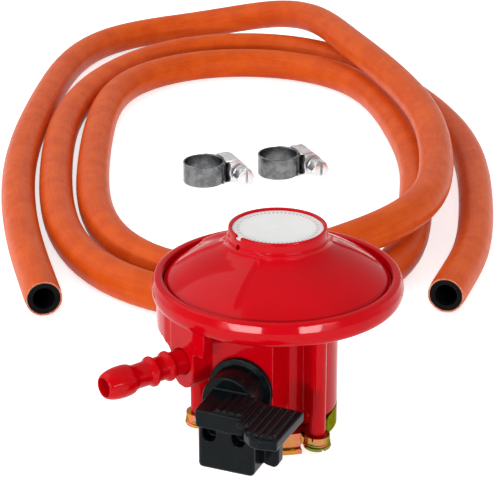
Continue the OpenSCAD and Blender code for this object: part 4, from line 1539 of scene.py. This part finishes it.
@dataclass
class Switch:
    """The black bezel, drum and paddle of the on and off switch."""

    reach: float = 29.5
    bezel_radius: float = 10.4
    bezel_depth: float = 2.1
    drum_face: float = 41.0
    paddle_top: float = 4.2
    ridge_first: float = 2.6
    ridge_pitch: float = 2.3
    ridge_count: int = 10
    ridge_radius: float = 0.95
    # how far beyond the face the ridges begin and end, by how far across they may lie
    ridge_backs: Profile = ((10.0, 1.6), (27.0, 4.8))
    ridge_fronts: Profile = ((11.0, 13.4), (15.0, 18.6), (27.0, 22.6))
    thumb: float = 3.2
    pad: float = 6.0
    drum_back: float = 31.8
    seat: float = 3.33
    drum_radius: float = 8.6
    windows: tuple[tuple[float, float], ...] = ((-2.1, 2.3), (7.4, 11.8))
    window_foot: float = -3.6
    grid: float = 0.24
    rounds: int = 3

    def build(self, looks: Looks) -> list[Piece]:
        """Makes the bezel and the lever.

        Args:
            looks: The finishes.

        Returns:
            The bezel and the lever.
        """
        bezel, lever = self.bezel(), self.lever()
        made = ((bezel, "casing", "hub_bezel"), (lever, "switch", "switch_lever"))
        for piece, body, node in made:
            looks.dress(piece, Look.BLACK_PLASTIC)
            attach(piece, body)
            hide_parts(node)
        return [bezel, lever]

    def bezel(self) -> Piece:
        """Turns the bezel with a rounded edge.

        Returns:
            The bezel.
        """
        r, x = self.bezel_radius, self.reach
        end = x + self.bezel_depth
        piece = turned_x("switch_bezel", [
            (5.4, x), (r - 0.1, x), (r, x + 0.2),
            *shifted(r, end, (0, -0.3), (-0.08, -0.1), (-0.3, 0)),
            (3.5, end), (3.5, x + 1.0), (5.4, x + 1.0), (5.4, x)], 128)
        stand_at(piece, HEADINGS.switch, HEADINGS.switch_height)
        smooth(piece, 35)
        return piece

    def lever(self) -> Piece:
        """Moulds the drum, paddle, block and tine as one soft-edged piece, with its grip ridges.

        Returns:
            The lever.
        """
        face, top, back, r = self.drum_face, self.paddle_top, self.drum_back, self.drum_radius
        inner = [(face + 2.6, 11.0), (face, 7.4), (face - 3, 7.0)]
        pad = [(face - 3, -5.0), (face + 14.6, -4.4), (face + 15.2, 11.2)]
        thumb = shifted(face, 0, (18, 12.6), (22, 14.6), (24.4, 17.4), (25, 20.4), (24, 25.6),
                        (3.4, 26.2))
        parts = [
            turned_x("drum", [(0, back), (r, back), (r, face - 0.6), (r - 0.15, face - 0.2),
                              (r - 0.5, face), (0, face)], 128),
            plate("thumb_rest", [*pad, *thumb, *inner], top - self.thumb, top, 0.45),
            plate("pad", [*pad, *inner], top - self.pad, top, 0.9),
            self.lower_block(),
            self.tine(),
            *self.ridges(),
        ]
        piece = join_all("switch_paddle", parts)
        cast(piece, self.grid, self.rounds)
        cut(piece, rod("seat", self.seat, back - 1, face - 2.8, Axis.X, sides=48))
        stand_at(piece, HEADINGS.switch, HEADINGS.switch_height)
        smooth(piece, 60)
        return piece

    def ridges(self) -> list[Piece]:
        """Lays the grip ridges over the paddle, each with a raised end.

        Returns:
            The ridges, longer towards the thumb rest's broad end.
        """
        face, top, r = self.drum_face, self.paddle_top, self.ridge_radius
        parts = []
        for k in range(self.ridge_count):
            across = self.ridge_first + k * self.ridge_pitch
            back, front = (next(reach for limit, reach in steps if across < limit)
                           for steps in (self.ridge_backs, self.ridge_fronts))
            parts.append(rod("ridge", r, face + back, face + front, Axis.X,
                             (0, across, top - 0.15), 16))
            parts.append(rod("ridge_end", r + 0.15, face + front - 0.9, face + front + 0.3,
                             Axis.X, (0, across, top - 0.05), 12))
        return parts

    def lower_block(self) -> Piece:
        """Makes the rounded block below the pad, its stop rib and its two windows.

        Returns:
            The block with its rib.
        """
        face, foot = self.drum_face, self.window_foot
        piece = block("lower_block", (face + 0.6, -3.8, -15.4), (face + 14.3, 14.4, 0.0))
        round_edges(piece, 1.5, segments=4)
        for low, high in self.windows:
            cut(piece, block("window", (face + 10.6, low, foot), (face + 17, high, 2.0)))
            cut(piece, rod("window_foot", (high - low) / 2, face + 10.6, face + 17, Axis.X,
                           (0, (low + high) / 2, foot), 32))
        stop = block("stop", (face + 4, 3.6, -16.2), (face + 12, 5.4, -14.5), 0.4)
        return join_all("lower_block", [piece, stop])

    def tine(self) -> Piece:
        """Makes the second tine, with a cut corner.

        Returns:
            The tine, standing across the block.
        """
        outline = [(13.0, -14.2), (14.8, -15.4), (17.6, -15.9), (18.9, -14.6), (18.9, 1.4),
                   (13.0, 1.4)]
        piece = plate("tine", outline, self.drum_face + 1, self.drum_face + 5.4, 0.7)
        return place_at(piece, (90, 0, 90))


# ---------------------------------------------------------------- clips


@dataclass
class WormClip:
    """A worm drive clip: ring band with its free tail, screw housing and worm screw."""

    side: str
    place: tuple[float, float]
    turn: float = 24.0
    radius: float = 8.2
    thick: float = 0.7
    low: float = 0.6
    width: float = 9.0
    worm_radius: float = 3.4
    length: float = 14.0
    head_flats: float = 7.0
    head_height: float = 6.0
    thread_depth: float = 0.85
    thread_pitch: float = 2.1
    strip_edge: float = 0.18
    tail_span: tuple[float, float] = (-50.0, 68.0)
    slot_low: float = 2.2
    slot_high: float = 8.0
    slot_width: float = 0.9
    slot_slant: float = 8.0
    # headings of the worm's slots on both sides of the housing
    slots: tuple[float, ...] = (-46, -32, *(30 + 7.5 * k for k in range(-2, 5)))

    @property
    def worm_at(self) -> float:
        """Distance in mm from the ring's centre to the worm's axis."""
        return self.radius + 2 * self.thick + self.worm_radius + 0.4

    @property
    def middle(self) -> float:
        """Height in mm of the band's middle."""
        return self.low + self.width / 2

    def build(self, looks: Looks) -> list[Piece]:
        """Makes the clip's three pieces.

        Args:
            looks: The finishes.

        Returns:
            The band, the housing and the screw.
        """
        made = ((self.band(), "casing", "clip_band", Look.BAND_STEEL),
                (self.housing(), "casing", "clip_housing", Look.BRIGHT_ZINC),
                (self.screw(), self.side + "_screw", "clip_screw", Look.BRIGHT_ZINC))
        pieces = []
        for piece, body, node, look in made:
            smooth(piece, 38)
            looks.dress(piece, look)
            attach(piece, body)
            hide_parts(f"{self.side}_{node}")
            pieces.append(piece)
        return pieces

    def strip(self, name: str, inner: float, outer: float) -> Piece:
        """Spins a strip with rounded edges, as high as the band.

        Args:
            name: Name of the new object.
            inner: Inner radius in mm.
            outer: Outer radius in mm.

        Returns:
            The strip.
        """
        low, high, e = self.low, self.low + self.width, self.strip_edge
        return turned(name, [
            (inner, low + e), (inner + e, low), (outer - e, low), (outer, low + e),
            (outer, high - e), (outer - e, high), (inner + e, high), (inner, high - e),
            (inner, low + e)], 160)

    def band(self) -> Piece:
        """Makes the ring and its free tail, with the worm's slots pressed in the tail.

        Returns:
            The band.
        """
        middle, outer = self.radius + self.thick, self.radius + 2 * self.thick
        ring = self.strip("ring", self.radius, middle)
        tail = self.strip("tail", middle - 0.02, outer)
        far = 30.0
        start, end = (math.radians(angle) for angle in self.tail_span)
        corners = [(0.0, 0.0), (far * math.cos(start), far * math.sin(start)), (far, 0.0),
                   (far * math.cos(end), far * math.sin(end))]
        points = [(x * MM, y * MM, z * MM) for z in (-1.0, 12.0) for x, y in corners]
        wedge = new_piece("wedge", points, faces=[(3, 2, 1, 0), (4, 5, 6, 7), *ring_faces(2, 4)])
        cut(tail, wedge, Cut.COMMON)
        for heading in self.slots:
            slot = block("slot", (middle + 0.25, -self.slot_width / 2, self.slot_low),
                         (outer + 1, self.slot_width / 2, self.slot_high))
            place_at(slot, (self.slot_slant, 0, 0))
            cut(tail, stand_at(slot, heading))
        piece = join_all(self.side + "_ring_band", [ring, tail])
        return stand_at(piece, self.turn, place=self.place)

    def housing(self) -> Piece:
        """Rounds the edges of the screw housing.

        Returns:
            The housing.
        """
        piece = copy_of(self.side + "_clip_housing", self.side + "_screw_housing")
        round_edges(piece, 0.25, 2, 35)
        return piece

    def screw(self) -> Piece:
        """Cuts the worm, and adds the neck, the collar and the slotted hexagon head.

        Returns:
            The screw, in its housing.
        """
        half = self.length / 2
        worm = self.worm(half - 0.9, -(half - 0.6))
        neck = rod("neck", self.worm_radius - 0.9, half - 1.2, half + 3, sides=48)
        collar = turned("collar", shifted(0, half, (0, 1.9), (3.5, 1.9), (3.85, 2.15),
                                          (3.85, 2.5), (3.5, 2.7), (0, 2.7)), 48)
        low = half + 2.5
        high = low + self.head_height
        head = rod("head", self.head_flats / math.sqrt(3), low, high, sides=6)
        place_at(head, (0, 0, 30))
        crown = turned("crown", [(0, low - 1), (4.6, low - 1), (4.6, high - 0.7), (3.2, high),
                                 (0, high)], 48)
        cut(head, crown, Cut.COMMON)
        cut(head, block("driver_slot", (-0.65, -6, high - 2.2), (0.65, 6, high + 1)))
        round_edges(head, 0.16, 2, 30)
        piece = join_all(self.side + "_worm_screw", [worm, neck, collar, head])
        place_at(piece, (90, 0, 0), (self.worm_at, 0, self.middle))
        return stand_at(piece, self.turn, place=self.place)

    def worm(self, start: float, end: float, around: int = 36, per_turn: int = 14) -> Piece:
        """Winds the closed worm thread round the Z axis.

        Args:
            start: Height in mm of its upper end.
            end: Height in mm of its lower end.
            around: Points round the thread.
            per_turn: Rings to a pitch.

        Returns:
            The worm.
        """
        depth, pitch = self.thread_depth, self.thread_pitch
        length = start - end
        rings = int(length / pitch * per_turn)
        points = []
        for i in range(rings + 1):
            z = end + length * i / rings
            fade = ease((z - end) / 0.7) * ease((start - z) / 0.7)
            for k in range(around):
                phase = (z / pitch - k / around) % 1.0
                crest = ease(1 - abs(phase - 0.5) * 3.2)
                r = self.worm_radius - depth + depth * crest * fade
                a = math.tau * k / around
                points.append((r * math.cos(a) * MM, r * math.sin(a) * MM, z * MM))
        faces = ring_faces(rings + 1, around)
        faces.append(tuple(reversed(range(around))))
        faces.append(tuple(rings * around + k for k in range(around)))
        return new_piece("worm", points, faces=faces)


# ---------------------------------------------------------------- kit


CLIP_PLACES: dict[str, tuple[float, float]] = {"left": (-32.0, 214.0), "right": (0.0, 224.0)}

KEPT_NODES: dict[Look, tuple[str, ...]] = {
    Look.LABEL_FILM: ("label_plate",),
    Look.TURNED_ALLOY: ("adjusting_plug",),
    Look.TURNED_BRASS: ("diaphragm_stem", "stem_nut", "inlet_jet", "inlet_plunger",
                        "switch_shaft"),
    Look.SPRING_WIRE: ("main_spring", "rocker_pin", "plunger_spring", "latch_balls",
                       "shaft_circlip"),
    Look.PRESSED_STEEL: ("upper_plate", "lower_plate", "rocker_lever"),
    Look.SOFT_RUBBER: ("diaphragm", "valve_pad", "inlet_seal", "shaft_seal"),
}


def dress_kept_nodes(looks: Looks) -> None:
    """Gives every CAD node that stays its finish.

    Args:
        looks: The finishes.
    """
    for look, nodes in KEPT_NODES.items():
        for node in nodes:
            looks.dress(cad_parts[node], look)


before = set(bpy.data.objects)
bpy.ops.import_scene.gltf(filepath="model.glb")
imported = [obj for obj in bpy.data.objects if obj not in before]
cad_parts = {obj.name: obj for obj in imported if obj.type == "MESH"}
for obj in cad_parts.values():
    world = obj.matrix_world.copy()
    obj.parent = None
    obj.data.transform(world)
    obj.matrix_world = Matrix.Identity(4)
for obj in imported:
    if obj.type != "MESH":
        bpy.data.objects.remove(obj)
EFFECTS = build_effects()


def main() -> None:
    """Builds the scene in order and reports each piece."""
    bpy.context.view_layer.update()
    Viewpoint().build()
    looks = Looks()
    Hose().build(looks)
    Studio().build()
    pieces = [Casing().build(looks), Cover().build(looks), HoseTail().build(looks),
              *Base().build(looks), *Switch().build(looks)]
    for side, place in CLIP_PLACES.items():
        pieces += WormClip(side, place).build(looks)
    for piece in pieces:
        piece.data.calc_loop_triangles()
        LOG.info("%s: %d triangles", piece.name, len(piece.data.loop_triangles))
    dress_kept_nodes(looks)


if __name__ == "__main__":
    main()
